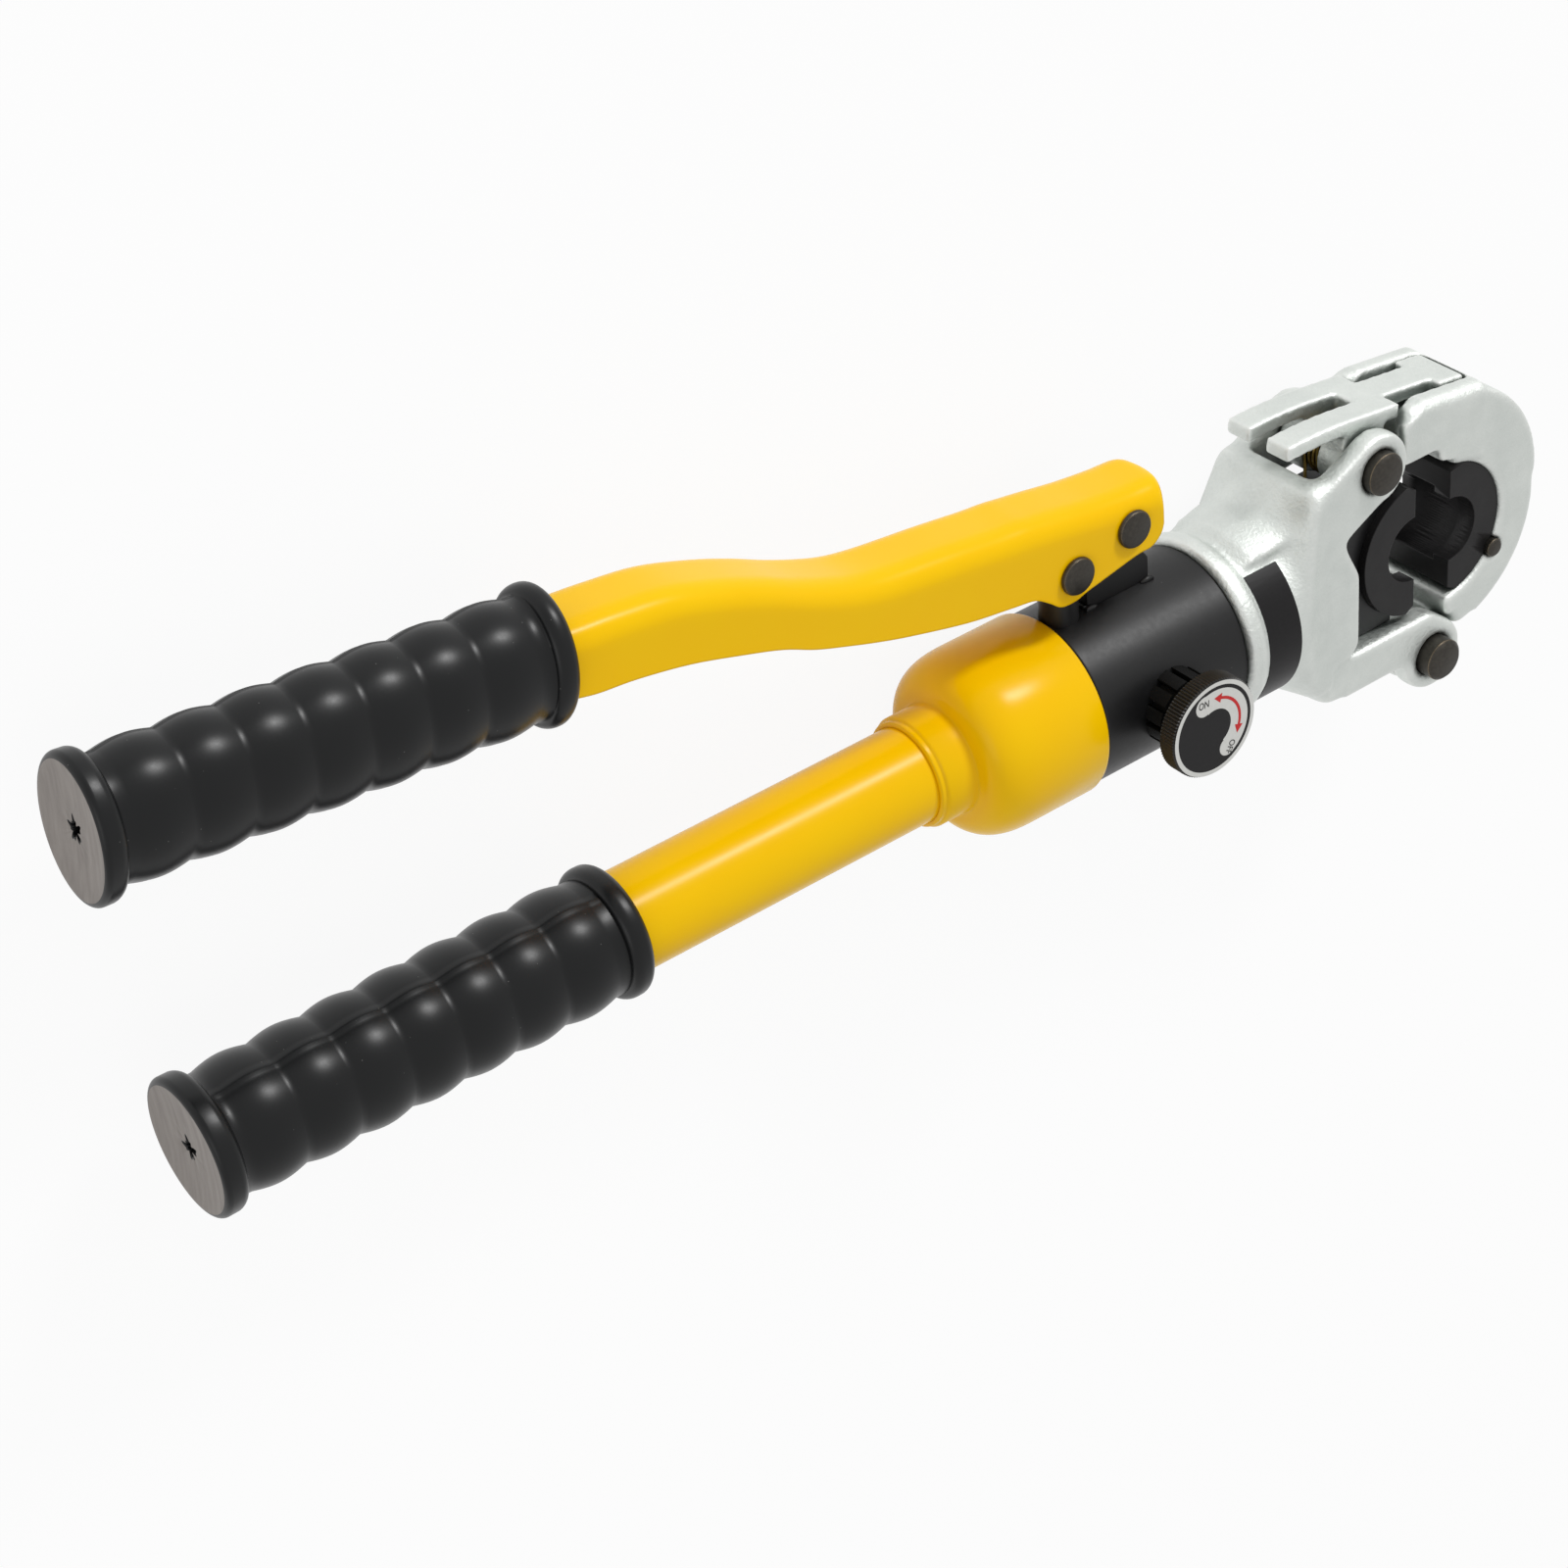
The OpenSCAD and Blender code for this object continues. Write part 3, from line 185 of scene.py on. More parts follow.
def softbox(name, towards, distance, width, height, watts):
    """A rectangular lamp that looks at the middle of the tool from a direction."""
    lamp = linked(name, bpy.data.lights.new(name, "AREA"))
    lamp.data.shape = "RECTANGLE"
    lamp.data.size = width
    lamp.data.size_y = height
    lamp.data.energy = watts
    middle = Vector((middle_x, 0.03, 0))
    lamp.location = middle + Vector(towards).normalized() * distance
    lamp.rotation_euler = (middle - lamp.location).to_track_quat("-Z", "Y").to_euler()


softbox("key_softbox", (0.455, 0.81, 0.37), distance=3.0, width=0.8, height=0.45, watts=41.0)
softbox("handle_fill", (-0.9, 0.1, 0.42), distance=1.6, width=0.8, height=0.8, watts=2.0)

# %% [markdown]
# ## Finishes
# Each finish starts from what the real surface is. One helper makes the plain material; the pattern, the gloss and
# the grain of each finish are then added in its own cell. Machined finishes also round their edges in the shader
# with a bevel node, so that an edge catches a thin line of light. A Mix node for colours takes its share at input 0
# and the two colours at 6 and 7, and its output 2 is the mixed colour.

# %% Start of a finish


def finish(name, colour, metallic, roughness, specular=0.5):
    """An opaque material with its plain values on the shader itself, its nodes, and places inside the object."""
    made = bpy.data.materials.new(name)
    made.use_nodes = True
    made.diffuse_color = linear(colour)
    tree = made.node_tree
    for socket, value in (("Base Color", linear(colour)), ("Metallic", metallic), ("Roughness", roughness),
                          ("Specular IOR Level", specular)):
        tree.nodes["Principled BSDF"].inputs[socket].default_value = value
    return made, tree, add(tree, "TexCoord")["Object"]


def connect(tree, colour, rough=None, normal=None):
    """Let patterns drive the shader's colour, roughness and normal."""
    for socket, source in (("Base Color", colour), ("Roughness", rough), ("Normal", normal)):
        if source is not None:
            tree.links.new(source, tree.nodes["Principled BSDF"].inputs[socket])


def per_metre(size_mm):
    """Texture scale at which one feature of a pattern is about this many millimetres."""
    return 1 / (size_mm * MM)


# %% [markdown]
# ### Zinc plating on a shot-blasted casting
# Bright zinc is a pale metal with a faint green-grey cast. The blasted skin under it stays grainy. Hollows and corners
# get painted shade in a darker grey-green, and convex edges get a painted highlight in near white that also stands for
# worn edges.

# %% Zinc-plated casting
zinc_casting, tree, place = finish("zinc_plated_casting", "#DEE2DE", 1.0, 0.5)
cloud = add(tree, "TexNoise", {"Vector": place, "Scale": per_metre(14), "Detail": 4, "Roughness": 0.6})["Fac"]
tone = add(tree, "Mix", {0: cloud, 6: linear("#D0D5D1"), 7: linear("#EAEDE9")}, data_type="RGBA")[2]
# painted shade: hollows and corners found by ambient occlusion are painted a darker grey-green
hollow = add(tree, "AmbientOcclusion", {"Distance": 9 * MM}, samples=6)["AO"]
depth = add(tree, "MapRange", {"Value": hollow, "From Min": 0.25, "From Max": 0.85})[0]
zinc_painted_shade = add(tree, "Mix", {0: depth, 6: linear("#939B96"), 7: tone}, data_type="RGBA")[2]
# painted highlight: convex edges found by pointiness are painted near white, which also stands for worn edges
edge = add(tree, "NewGeometry")["Pointiness"]
edge_highlight_and_wear = add(tree, "MapRange", {"Value": edge, "From Min": 0.505, "From Max": 0.56})[0]
bright = add(tree, "Mix", {0: edge_highlight_and_wear, 6: zinc_painted_shade, 7: linear("#F6F7F4")}, data_type="RGBA")[2]
# real blasted grain is half as coarse, too fine to show; the wrinkles and the slow swell are what a sand mould leaves
grain = add(tree, "TexNoise", {"Vector": place, "Scale": per_metre(0.9), "Detail": 3})["Fac"]
swell = add(tree, "TexNoise", {"Vector": place, "Scale": per_metre(9), "Detail": 2})["Fac"]
wrinkle = add(tree, "TexNoise", {"Vector": place, "Scale": per_metre(3), "Detail": 3, "Distortion": 0.6})["Fac"]
gloss = add(tree, "MapRange", {"Value": grain, "To Min": 0.4, "To Max": 0.7})[0]
skin = add(tree, "Bump", {"Height": swell, "Strength": 0.4, "Distance": 0.6 * MM})[0]
skin = add(tree, "Bump", {"Height": wrinkle, "Normal": skin, "Strength": 0.5, "Distance": 0.35 * MM})[0]
skin = add(tree, "Bump", {"Height": grain, "Normal": skin, "Strength": 0.8, "Distance": 0.2 * MM})[0]
connect(tree, bright, gloss, skin)
print(zinc_casting.name, len(tree.nodes), "nodes")

# %% [markdown]
# ### Black oxide on ground steel
# The dies are ground, then blackened in hot salts. The black is thin: faces look dark grey and even, and the
# grinding marks stay visible along the pipe's direction.

# %% Black oxide steel
black_oxide, tree, place = finish("black_oxide_ground_steel", "#232223", 0.3, 0.45, 0.3)
along_marks = add(tree, "Mapping", {"Vector": place, "Scale": (1.0, 1.0, 0.06)})[0]
marks = add(tree, "TexNoise", {"Vector": along_marks, "Scale": per_metre(0.7), "Detail": 3})["Fac"]
blotch = add(tree, "TexNoise", {"Vector": place, "Scale": per_metre(6), "Detail": 3})["Fac"]
tone = add(tree, "Mix", {0: blotch, 6: linear("#1C1B1C"), 7: linear("#2A2929")}, data_type="RGBA")[2]
gloss = add(tree, "MapRange", {"Value": marks, "To Min": 0.34, "To Max": 0.52})[0]
rounded = add(tree, "Bevel", {"Radius": 0.5 * MM}, samples=6)[0]
ground = add(tree, "Bump", {"Height": marks, "Normal": rounded, "Strength": 0.15, "Distance": 0.03 * MM})[0]
connect(tree, tone, gloss, ground)
print(black_oxide.name, len(tree.nodes), "nodes")

# %% [markdown]
# ### Gunmetal pins
# Pins are turned from hard steel and browned in oil. The browning is uneven, a little like old leather. The rim of
# each pin gets a thin warm ring in paint: a painted highlight, and also the browning worn off there.

# %% Browned pin steel
browned_steel, tree, place = finish("oil_browned_pin_steel", "#45433F", 0.9, 0.4)
speck = add(tree, "TexNoise", {"Vector": place, "Scale": per_metre(1.2), "Detail": 5, "Roughness": 0.65})["Fac"]
tone = add(tree, "Mix", {0: speck, 6: linear("#33312E"), 7: linear("#57534D")}, data_type="RGBA")[2]
gloss = add(tree, "MapRange", {"Value": speck, "To Min": 0.3, "To Max": 0.55})[0]
rounded = add(tree, "Bevel", {"Radius": 0.6 * MM}, samples=6)[0]
# a rim is where the rounded normal leaves the flat one; its warm ring is painted highlight and wear
flat_normal = add(tree, "NewGeometry")["Normal"]
bend = add(tree, "VectorMath", {0: rounded, 1: flat_normal}, operation="DOT_PRODUCT")["Value"]
rim = add(tree, "MapRange", {"Value": bend, "From Min": 0.985, "From Max": 0.93})[0]
edge_highlight_and_wear = add(tree, "Mix", {0: rim, 6: tone, 7: linear("#857660")}, data_type="RGBA")[2]
skin = add(tree, "Bump", {"Height": speck, "Normal": rounded, "Strength": 0.2, "Distance": 0.05 * MM})[0]
connect(tree, edge_highlight_and_wear, gloss, skin)
print(browned_steel.name, len(tree.nodes), "nodes")

# %% [markdown]
# ### Yellow powder coat
# The lever, cover and tube carry a thick baked powder coat. It flows into a fine orange peel and stays glossy.
# Hollows get painted shade: where ambient occlusion finds one, the yellow is painted a deeper orange.

# %% Yellow powder coat
yellow_coat, tree, place = finish("yellow_powder_coat", "#FFCA00", 0.0, 0.25, 0.14)
flow = add(tree, "TexNoise", {"Vector": place, "Scale": per_metre(25), "Detail": 2})["Fac"]
peel = add(tree, "TexNoise", {"Vector": place, "Scale": per_metre(2.2), "Detail": 1})["Fac"]
tone = add(tree, "Mix", {0: flow, 6: linear("#FFC600"), 7: linear("#FFCE00")}, data_type="RGBA")[2]
# painted shade: where ambient occlusion finds a hollow, the yellow is painted a deeper orange
hollow = add(tree, "AmbientOcclusion", {"Distance": 12 * MM}, samples=6)["AO"]
depth = add(tree, "MapRange", {"Value": hollow, "From Min": 0.1, "From Max": 0.7})[0]
yellow_painted_shade = add(tree, "Mix", {0: depth, 6: linear("#D89800"), 7: tone}, data_type="RGBA")[2]
gloss = add(tree, "MapRange", {"Value": flow, "To Min": 0.18, "To Max": 0.3})[0]
rounded = add(tree, "Bevel", {"Radius": 0.8 * MM}, samples=6)[0]
peeled = add(tree, "Bump", {"Height": peel, "Normal": rounded, "Strength": 0.12, "Distance": 0.08 * MM})[0]
connect(tree, yellow_painted_shade, gloss, peeled)
print(yellow_coat.name, len(tree.nodes), "nodes")

# %% [markdown]
# ### Black coated steel
# The cylinder, its bracket and the barrel wear a satin black stove coat over turned steel. It shows a broad,
# blurred streak of the softbox and a few dust specks.

# %% Black stove coat
black_coat, tree, place = finish("black_stove_coat", "#0F0F10", 0.0, 0.42, 0.4)
mottle = add(tree, "TexNoise", {"Vector": place, "Scale": per_metre(1.6), "Detail": 4})["Fac"]
tone = add(tree, "Mix", {0: mottle, 6: linear("#0C0C0D"), 7: linear("#131314")}, data_type="RGBA")[2]
dust = add(tree, "TexVoronoi", {"Vector": place, "Scale": per_metre(5)})["Distance"]
speck = add(tree, "MapRange", {"Value": dust, "From Min": 0.05, "From Max": 0.03})[0]
dusty = add(tree, "Mix", {0: speck, 6: tone, 7: linear("#3C3C3B")}, data_type="RGBA")[2]
gloss = add(tree, "MapRange", {"Value": mottle, "To Min": 0.36, "To Max": 0.48})[0]
rounded = add(tree, "Bevel", {"Radius": 0.6 * MM}, samples=6)[0]
coated = add(tree, "Bump", {"Height": mottle, "Normal": rounded, "Strength": 0.12, "Distance": 0.04 * MM})[0]
connect(tree, dusty, gloss, coated)
print(black_coat.name, len(tree.nodes), "nodes")

# %% [markdown]
# ### Moulded rubber, and the face where it was cut
# The grips are dipped black PVC rubber with a soft satin skin. Their end walls were trimmed from the mould, and
# the cut face is matte with drag marks across it; its pale warm grey is a painted reflection of the bright room.

# %% Grip rubber
grip_rubber, tree, place = finish("moulded_grip_rubber", "#101112", 0.0, 0.3, 0.3)
leather = add(tree, "TexNoise", {"Vector": place, "Scale": per_metre(0.8), "Detail": 3})["Fac"]
cloud = add(tree, "TexNoise", {"Vector": place, "Scale": per_metre(18), "Detail": 2})["Fac"]
tone = add(tree, "Mix", {0: cloud, 6: linear("#0D0E0F"), 7: linear("#141516")}, data_type="RGBA")[2]
dust = add(tree, "TexVoronoi", {"Vector": place, "Scale": per_metre(4)})["Distance"]
speck = add(tree, "MapRange", {"Value": dust, "From Min": 0.045, "From Max": 0.025})[0]
dusty = add(tree, "Mix", {0: speck, 6: tone, 7: linear("#5A5A58")}, data_type="RGBA")[2]
gloss = add(tree, "MapRange", {"Value": leather, "To Min": 0.29, "To Max": 0.36})[0]
connect(tree, dusty, gloss, add(tree, "Bump", {"Height": leather, "Strength": 0.1, "Distance": 0.05 * MM})[0])

# %% Cut rubber
# painted reflection: the cut face's pale warm grey stands for the bright room it reflects
cut_rubber, tree, place = finish("cut_rubber_face", "#8F8883", 0.0, 0.62)
across = add(tree, "Mapping", {"Vector": place, "Scale": (1.0, 0.12, 1.0), "Rotation": (math.radians(28), 0, 0)})[0]
drag = add(tree, "TexNoise", {"Vector": across, "Scale": per_metre(2.5), "Detail": 5, "Roughness": 0.6})["Fac"]
tone = add(tree, "Mix", {0: drag, 6: linear("#6F6864"), 7: linear("#A8A19B")}, data_type="RGBA")[2]
connect(tree, tone, normal=add(tree, "Bump", {"Height": drag, "Strength": 0.3, "Distance": 0.1 * MM})[0])
print(grip_rubber.name, "and", cut_rubber.name)

# %% [markdown]
# ### Small finishes
# Knob plastic with rubbed knurl tips, printed film for the marks, ground bright steel, yellow-plated spring
# wire, a sooty matte black for the valve's ribbed nut and nitrile rubber for the seals.

# %% Knob plastic and printed film
knob_plastic, tree, place = finish("black_knob_plastic", "#1C1A18", 0.0, 0.45)
wear = add(tree, "TexNoise", {"Vector": place, "Scale": per_metre(1.5), "Detail": 3})["Fac"]
edge = add(tree, "NewGeometry")["Pointiness"]
tip = add(tree, "MapRange", {"Value": edge, "From Min": 0.56, "From Max": 0.7})[0]
worn = add(tree, "Math", {0: tip, 1: wear}, operation="MULTIPLY")[0]
tone = add(tree, "Mix", {0: worn, 6: linear("#1A1816"), 7: linear("#77736B")}, data_type="RGBA")[2]
connect(tree, tone, normal=add(tree, "Bump", {"Height": wear, "Strength": 0.2, "Distance": 0.05 * MM})[0])

films = {}
for film, dark, pale, rough in (("black_printed_film", "#161516", "#1F1E1F", 0.4),
                                ("white_printed_film", "#D6D6D2", "#E4E4E0", 0.4),
                                ("red_printed_film", "#C32326", "#D63433", 0.42),
                                ("grey_printed_film", "#2C2C2C", "#3A3A39", 0.5)):
    films[film], tree, place = finish(film, pale, 0.0, rough, 0.2)
    ink = add(tree, "TexNoise", {"Vector": place, "Scale": per_metre(1.1), "Detail": 4})["Fac"]
    tone = add(tree, "Mix", {0: ink, 6: linear(dark), 7: linear(pale)}, data_type="RGBA")[2]
    connect(tree, tone, normal=add(tree, "Bump", {"Height": ink, "Strength": 0.08, "Distance": 0.03 * MM})[0])
print("films:", sorted(films))

# %% Bright steel, spring wire, matte black and nitrile
metals = []
for metal, dark, pale, grit in (("ground_bright_steel", "#A4A6A6", "#C6C8C8", 0.5),
                                ("yellow_plated_spring_wire", "#8E6F36", "#C6A860", 0.4)):
    made, tree, place = finish(metal, pale, 1.0, 0.3)
    scratch = add(tree, "TexNoise", {"Vector": place, "Scale": per_metre(grit), "Detail": 4})["Fac"]
    tone = add(tree, "Mix", {0: scratch, 6: linear(dark), 7: linear(pale)}, data_type="RGBA")[2]
    connect(tree, tone, add(tree, "MapRange", {"Value": scratch, "To Min": 0.2, "To Max": 0.42})[0])
    metals.append(made)
bright_steel, spring_wire = metals

matte_black, tree, place = finish("matte_black_nut", "#0B0B0B", 0.0, 0.6, 0.15)
soot = add(tree, "TexNoise", {"Vector": place, "Scale": per_metre(1.5), "Detail": 3})["Fac"]
connect(tree, add(tree, "Mix", {0: soot, 6: linear("#070707"), 7: linear("#101010")}, data_type="RGBA")[2])

nitrile, tree, place = finish("nitrile_rubber", "#141414", 0.0, 0.55)
bloom = add(tree, "TexNoise", {"Vector": place, "Scale": per_metre(2), "Detail": 3})["Fac"]
connect(tree, add(tree, "Mix", {0: bloom, 6: linear("#0F0F0F"), 7: linear("#1E1E1D")}, data_type="RGBA")[2])
print("finishes made:", len(bpy.data.materials))

# %% [markdown]
# ## Shapes
# ### How a piece is handed over
# A finished bmesh becomes a mesh whose place is in its vertices. It rides on the CAD body that carries it, takes
# its finishes, and hides the CAD node that it stands for. Edges sharper than an angle stay crisp.

# %% Hand over a piece


def hand_over(name, bm, finishes, body, nodes=(), crisp=35):
    """Make the bmesh a smooth-shaded piece that rides on a body in place of CAD nodes."""
    mesh = meshed(name, bm)
    mesh.shade_smooth()
    mesh.set_sharp_from_angle(angle=math.radians(crisp))
    for made in finishes:
        mesh.materials.append(made)
    piece = linked(name, mesh)
    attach(piece, body)
    if nodes:
        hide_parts(*nodes)
    print(name, "rides on", body, "with", len(mesh.polygons), "faces")
    return piece


def merged_copy(node):
    """A bmesh of a CAD node with its loose triangles joined."""
    bm = bmesh.new()
    bm.from_mesh(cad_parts[node].data)
    bmesh.ops.remove_doubles(bm, verts=bm.verts, dist=0.001 * MM)
    return bm


# %% [markdown]
# ### Castings: head, jaw and latch
# A casting has no sharp edge anywhere: sand moulds round every corner, and blasting rounds it further. Bevelling
# each of hundreds of edges would be slow to get right where three or four meet. Rebuilding the solid from small
# cubes and letting neighbouring points settle towards each other rounds all of them at once, as blasting does.

# %% Blast a solid into a casting


def made_solid(shown):
    """A bmesh of an object as its modifiers or curve settings show it; the object is taken away."""
    bpy.context.view_layer.update()
    mesh = bpy.data.meshes.new_from_object(shown.evaluated_get(bpy.context.evaluated_depsgraph_get()))
    bpy.data.objects.remove(shown)
    bm = bmesh.new()
    bm.from_mesh(mesh)
    return bm


def settle_points(bm, verts, times):
    """Let these points move towards their neighbours this many times."""
    for _ in range(times):
        bmesh.ops.smooth_vert(bm, verts=verts, factor=0.5, use_axis_x=True, use_axis_y=True, use_axis_z=True)


def blasted(node, cube_mm, settle):
    """The node's solid rebuilt in cubes of this size, with its points settled this many times."""
    blank = linked(node + "_blank", meshed(node + "_blank", merged_copy(node)))
    cubes = blank.modifiers.new("cubes", "REMESH")
    cubes.mode = "VOXEL"
    cubes.voxel_size = cube_mm * MM
    bm = made_solid(blank)
    settle_points(bm, bm.verts, settle)
    return bm


def near(bm, spots_mm, reach_mm):
    """The points within reach of any of these spots."""
    spots = [Vector(spot) * MM for spot in spots_mm]
    return [v for v in bm.verts if any((v.co - spot).length < reach_mm * MM for spot in spots)]


# %% [markdown]
# The collar was turned after casting, so its edges stay crisper than the rest of the head. Corners that hands and
# pipes rub against are worn rounder: the lower arm's end, and on the jaw the pad's upper corner and the tail.

# %% Head and jaw
turned_collar_x = -78
bm = blasted("head_yoke", 0.8, 6)
settle_points(bm, [v for v in bm.verts if v.co.x > turned_collar_x * MM], 16)
settle_points(bm, near(bm, [(-52, -35, 17), (-52, -35, -17)], 8), 40)
hand_over("head_casting", bm, [zinc_casting], "tool", ["head_yoke"], 180)
bm = blasted("swing_jaw", 0.7, 16)
settle_points(bm, near(bm, [(-20, 53, 13), (-20, 53, -13)], 9.5), 90)
settle_points(bm, near(bm, [(5, -32, 15), (5, -32, -15)], 6), 40)
hand_over("jaw_casting", bm, [zinc_casting], "jaw", ["swing_jaw"], 180)

# %% [markdown]
# The latch's finger prongs droop towards their tips, so that a thumb slides on to them. The droop is a gentle
# curve added to the blasted solid in the latch's own tilted directions.

# %% Latch with drooping prongs
latch_pin = Vector((-33.6, 36.0, 0)) * MM
tilt, droop_start, droop_curve = math.radians(7), -4 * MM, 3.2
along_latch = Vector((math.cos(tilt), -math.sin(tilt), 0))
up_latch = Vector((math.sin(tilt), math.cos(tilt), 0))
bm = blasted("latch", 0.55, 10)
for v in bm.verts:
    behind = droop_start - (v.co - latch_pin).dot(along_latch)
    if behind > 0:
        v.co -= up_latch * (droop_curve * behind ** 2)
hand_over("latch_casting", bm, [zinc_casting], "latch", ["latch"], 180)

# %% [markdown]
# ### Machined parts
# Dies, the holder, the bracket and the valve parts are milled or turned, and the CAD solids already have their
# shape. A joined copy of each is enough: round faces shade smoothly, and edges sharper than thirty degrees stay.

# %% Machined copies
machined = {
    "pin_clips": (browned_steel, "tool", "dark_steel"),
    "fixed_die": (black_oxide, "jaw", "die_steel"),
    "moving_die": (black_oxide, "ram", "die_steel"),
    "die_holder": (black_coat, "ram", "black_steel"),
    "lever_bracket": (black_coat, "tool", "black_steel"),
    "pump_barrel": (black_coat, "tool", "black_steel"),
    "valve_collar": (matte_black, "tool", "black_steel"),
    "head_label": (films["black_printed_film"], "tool", "label"),
    "ram": (bright_steel, "ram", "bright_steel"),
    "pump_plunger": (bright_steel, "plunger", "bright_steel"),
    "release_spindle": (bright_steel, "knob", "bright_steel"),
    "relief_screw": (browned_steel, "tool", "dark_steel"),
    "head_set_screw": (browned_steel, "tool", "dark_steel"),
}
for node, (made, body, slot) in machined.items():
    hand_over(node + "_machined", merged_copy(node), [made], body, [node], 30)

# %% [markdown]
# The small inner pieces that nothing shows keep their CAD shape and take a finish.

# %% Inner pieces keep their CAD shape
for node, made in (("holder_screw", browned_steel), ("spring_seat", bright_steel), ("bladder_spout", bright_steel),
                   ("release_ball", bright_steel), ("relief_ball", bright_steel), ("intake_ball", bright_steel),
                   ("outlet_ball", bright_steel)):
    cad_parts[node].data.materials.clear()
    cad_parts[node].data.materials.append(made)

# %% [markdown]
# ### Turned shapes: cover and tube
# The reservoir cover is spun from tube, and its handle tube is drawn. A profile of a few points spun once round is
# how a lathe would make them too; the points round each corner are set close together, as a turning tool leaves it.

# %% Spin a profile


def profile_line(bm, points, closed):
    """Points of (along, radius) in mm as a line of edges in the XY plane."""
    verts = [bm.verts.new((along * MM, radius * MM, 0)) for along, radius in points]
    for a, b in zip(verts, verts[1:] + (verts[:1] if closed else [])):
        bm.edges.new((a, b))


def spun(points, steps, closed=False):
    """The profile spun once round the X axis, with its poles and seam closed."""
    bm = bmesh.new()
    profile_line(bm, points, closed)
    bmesh.ops.spin(bm, geom=bm.verts[:] + bm.edges[:], cent=(0, 0, 0), axis=(1, 0, 0), angle=math.tau, steps=steps,
                   use_merge=True)
    bmesh.ops.remove_doubles(bm, verts=bm.verts, dist=0.002 * MM)
    bmesh.ops.dissolve_degenerate(bm, edges=bm.edges, dist=0.001 * MM)
    bmesh.ops.recalc_face_normals(bm, faces=bm.faces)
    return bm


shoulder_x, shoulder_long, mouth_x, neck_x = -179.2, 16.5, -141.8, -191.3
cover_r, neck_r, tube_r, mouth_r, mouth_deep, tube_wall, tube_end_x = 27.0, 16.2, 14.0, 25.1, 22, 2, -410.5
squareness = 0.74  # 1 makes the shoulder a quarter ellipse, less makes it fuller
shoulder = []
for k in range(25):
    a = math.radians(90 * k / 24)
    shoulder.append((shoulder_x + shoulder_long * (1 - math.cos(a) ** squareness),
                     neck_r + (cover_r - neck_r) * math.sin(a) ** squareness))
cover = [(neck_x, tube_r), (neck_x, 14.9), (neck_x + 0.3, 15.3), (neck_x + 1.6, 15.4), (neck_x + 1.9, 15.9),
         (neck_x + 2.3, neck_r), (shoulder_x - 1.5, neck_r), (shoulder_x - 0.4, neck_r + 0.3)] + shoulder[1:]
cover += [(mouth_x - 1.2, cover_r), (mouth_x - 0.4, cover_r - 0.35), (mouth_x, cover_r - 1.1), (mouth_x, mouth_r),
          (mouth_x - mouth_deep, mouth_r), (mouth_x - mouth_deep, tube_r)]
hand_over("cover_bell", spun(cover, 128, True), [yellow_coat], "tool", ["reservoir_cover"], 40)
tube = [(tube_end_x, tube_r), (shoulder_x + 2, tube_r), (shoulder_x + 2, tube_r - tube_wall),
        (tube_end_x, tube_r - tube_wall)]
hand_over("drawn_tube", spun(tube, 96, True), [yellow_coat], "tool", ["handle_tube"], 40)

# %% [markdown]
# Pins are small, but the light draws a ring on each of their rims, so they are spun with plenty of steps instead of
# copied. Jaw pins have a broad chamfer and a groove for the snap ring; lever pins have flat rivet heads.

# %% Turned pins
upright = Matrix.Rotation(-math.pi / 2, 4, "Y")


def turned_pin(name, node, body, points):
    """A pin spun from (height, radius) points, set upright in the middle of its CAD node."""
    low, high = (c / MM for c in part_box(node))
    middle = (low + high) / 2
    bm = spun([(middle.z + height, radius) for height, radius in points], 72)
    bmesh.ops.transform(bm, verts=bm.verts, matrix=Matrix.Translation((middle.x * MM, middle.y * MM, 0)) @ upright)
    hand_over(name, bm, [browned_steel], body, [node], 30)


for node, half, groove in (("hinge_pin", 22.5, 18.2), ("latch_pin", 23.0, 20.2)):
    turned_pin(node + "_turned", node, "tool", [
        (-half, 0), (-half, 5.3), (1 - half, 6.4), (-groove - 1.3, 6.4), (-groove - 1.3, 5.4), (-groove, 5.4),
        (-groove, 6.4), (half - 1, 6.4), (half - 0.15, 5.5), (half, 5.2), (half, 0)])
rivet = [(12.25, 3.2), (12.25, 5.5), (12.9, 5.5), (13.35, 5.25), (13.6, 4.8), (13.75, 0)]
rivet = [(-height, radius) for height, radius in reversed(rivet)] + rivet
turned_pin("fulcrum_rivet", "fulcrum_pin", "tool", rivet)
turned_pin("plunger_rivet", "plunger_pin", "lever", rivet)
low, high = (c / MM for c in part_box("jaw_die_button"))
half = (high.z - low.z) / 2
turned_pin("die_button_turned", "jaw_die_button", "die_button", [
    (-half, 0), (-half, 2.8), (half - 0.5, 2.8), (half - 0.1, 2.45), (half, 2.2), (half, 0)])

# %% [markdown]
# The black cylinder is turned as well. Its copy from the CAD would carry slivers of triangles round its cross bores,
# which show as streaks in a satin coat, so the drum is spun afresh. The one bore that stays open to the eye is the
# seat of the relief screw underneath, and a boolean with a small cylinder cuts that.

# %% Black drum
drum_r, drum_x0, drum_x1, thread_x = 25.8, -141.6, -90.0, -72.0
drum = [(-163.5, 0), (-163.5, 24.9), (drum_x0 - 0.1, 24.9), (drum_x0, 25.3), (drum_x0 + 0.5, drum_r),
        (drum_x1 - 0.5, drum_r), (drum_x1 - 0.1, 25.3), (drum_x1 - 0.1, 22.9), (thread_x, 22.9), (thread_x, 18.6),
        (-106, 18.6), (-106, 0)]
relief_x, seat_r, seat_deep = -126.7, 3.1, 3
seat = bmesh.new()
bmesh.ops.create_cone(seat, cap_ends=True, segments=32, radius1=seat_r * MM, radius2=seat_r * MM, depth=seat_deep * MM,
                      matrix=Matrix.Translation((relief_x * MM, -26 * MM, 0)) @ Matrix.Rotation(math.pi / 2, 4, "X"))
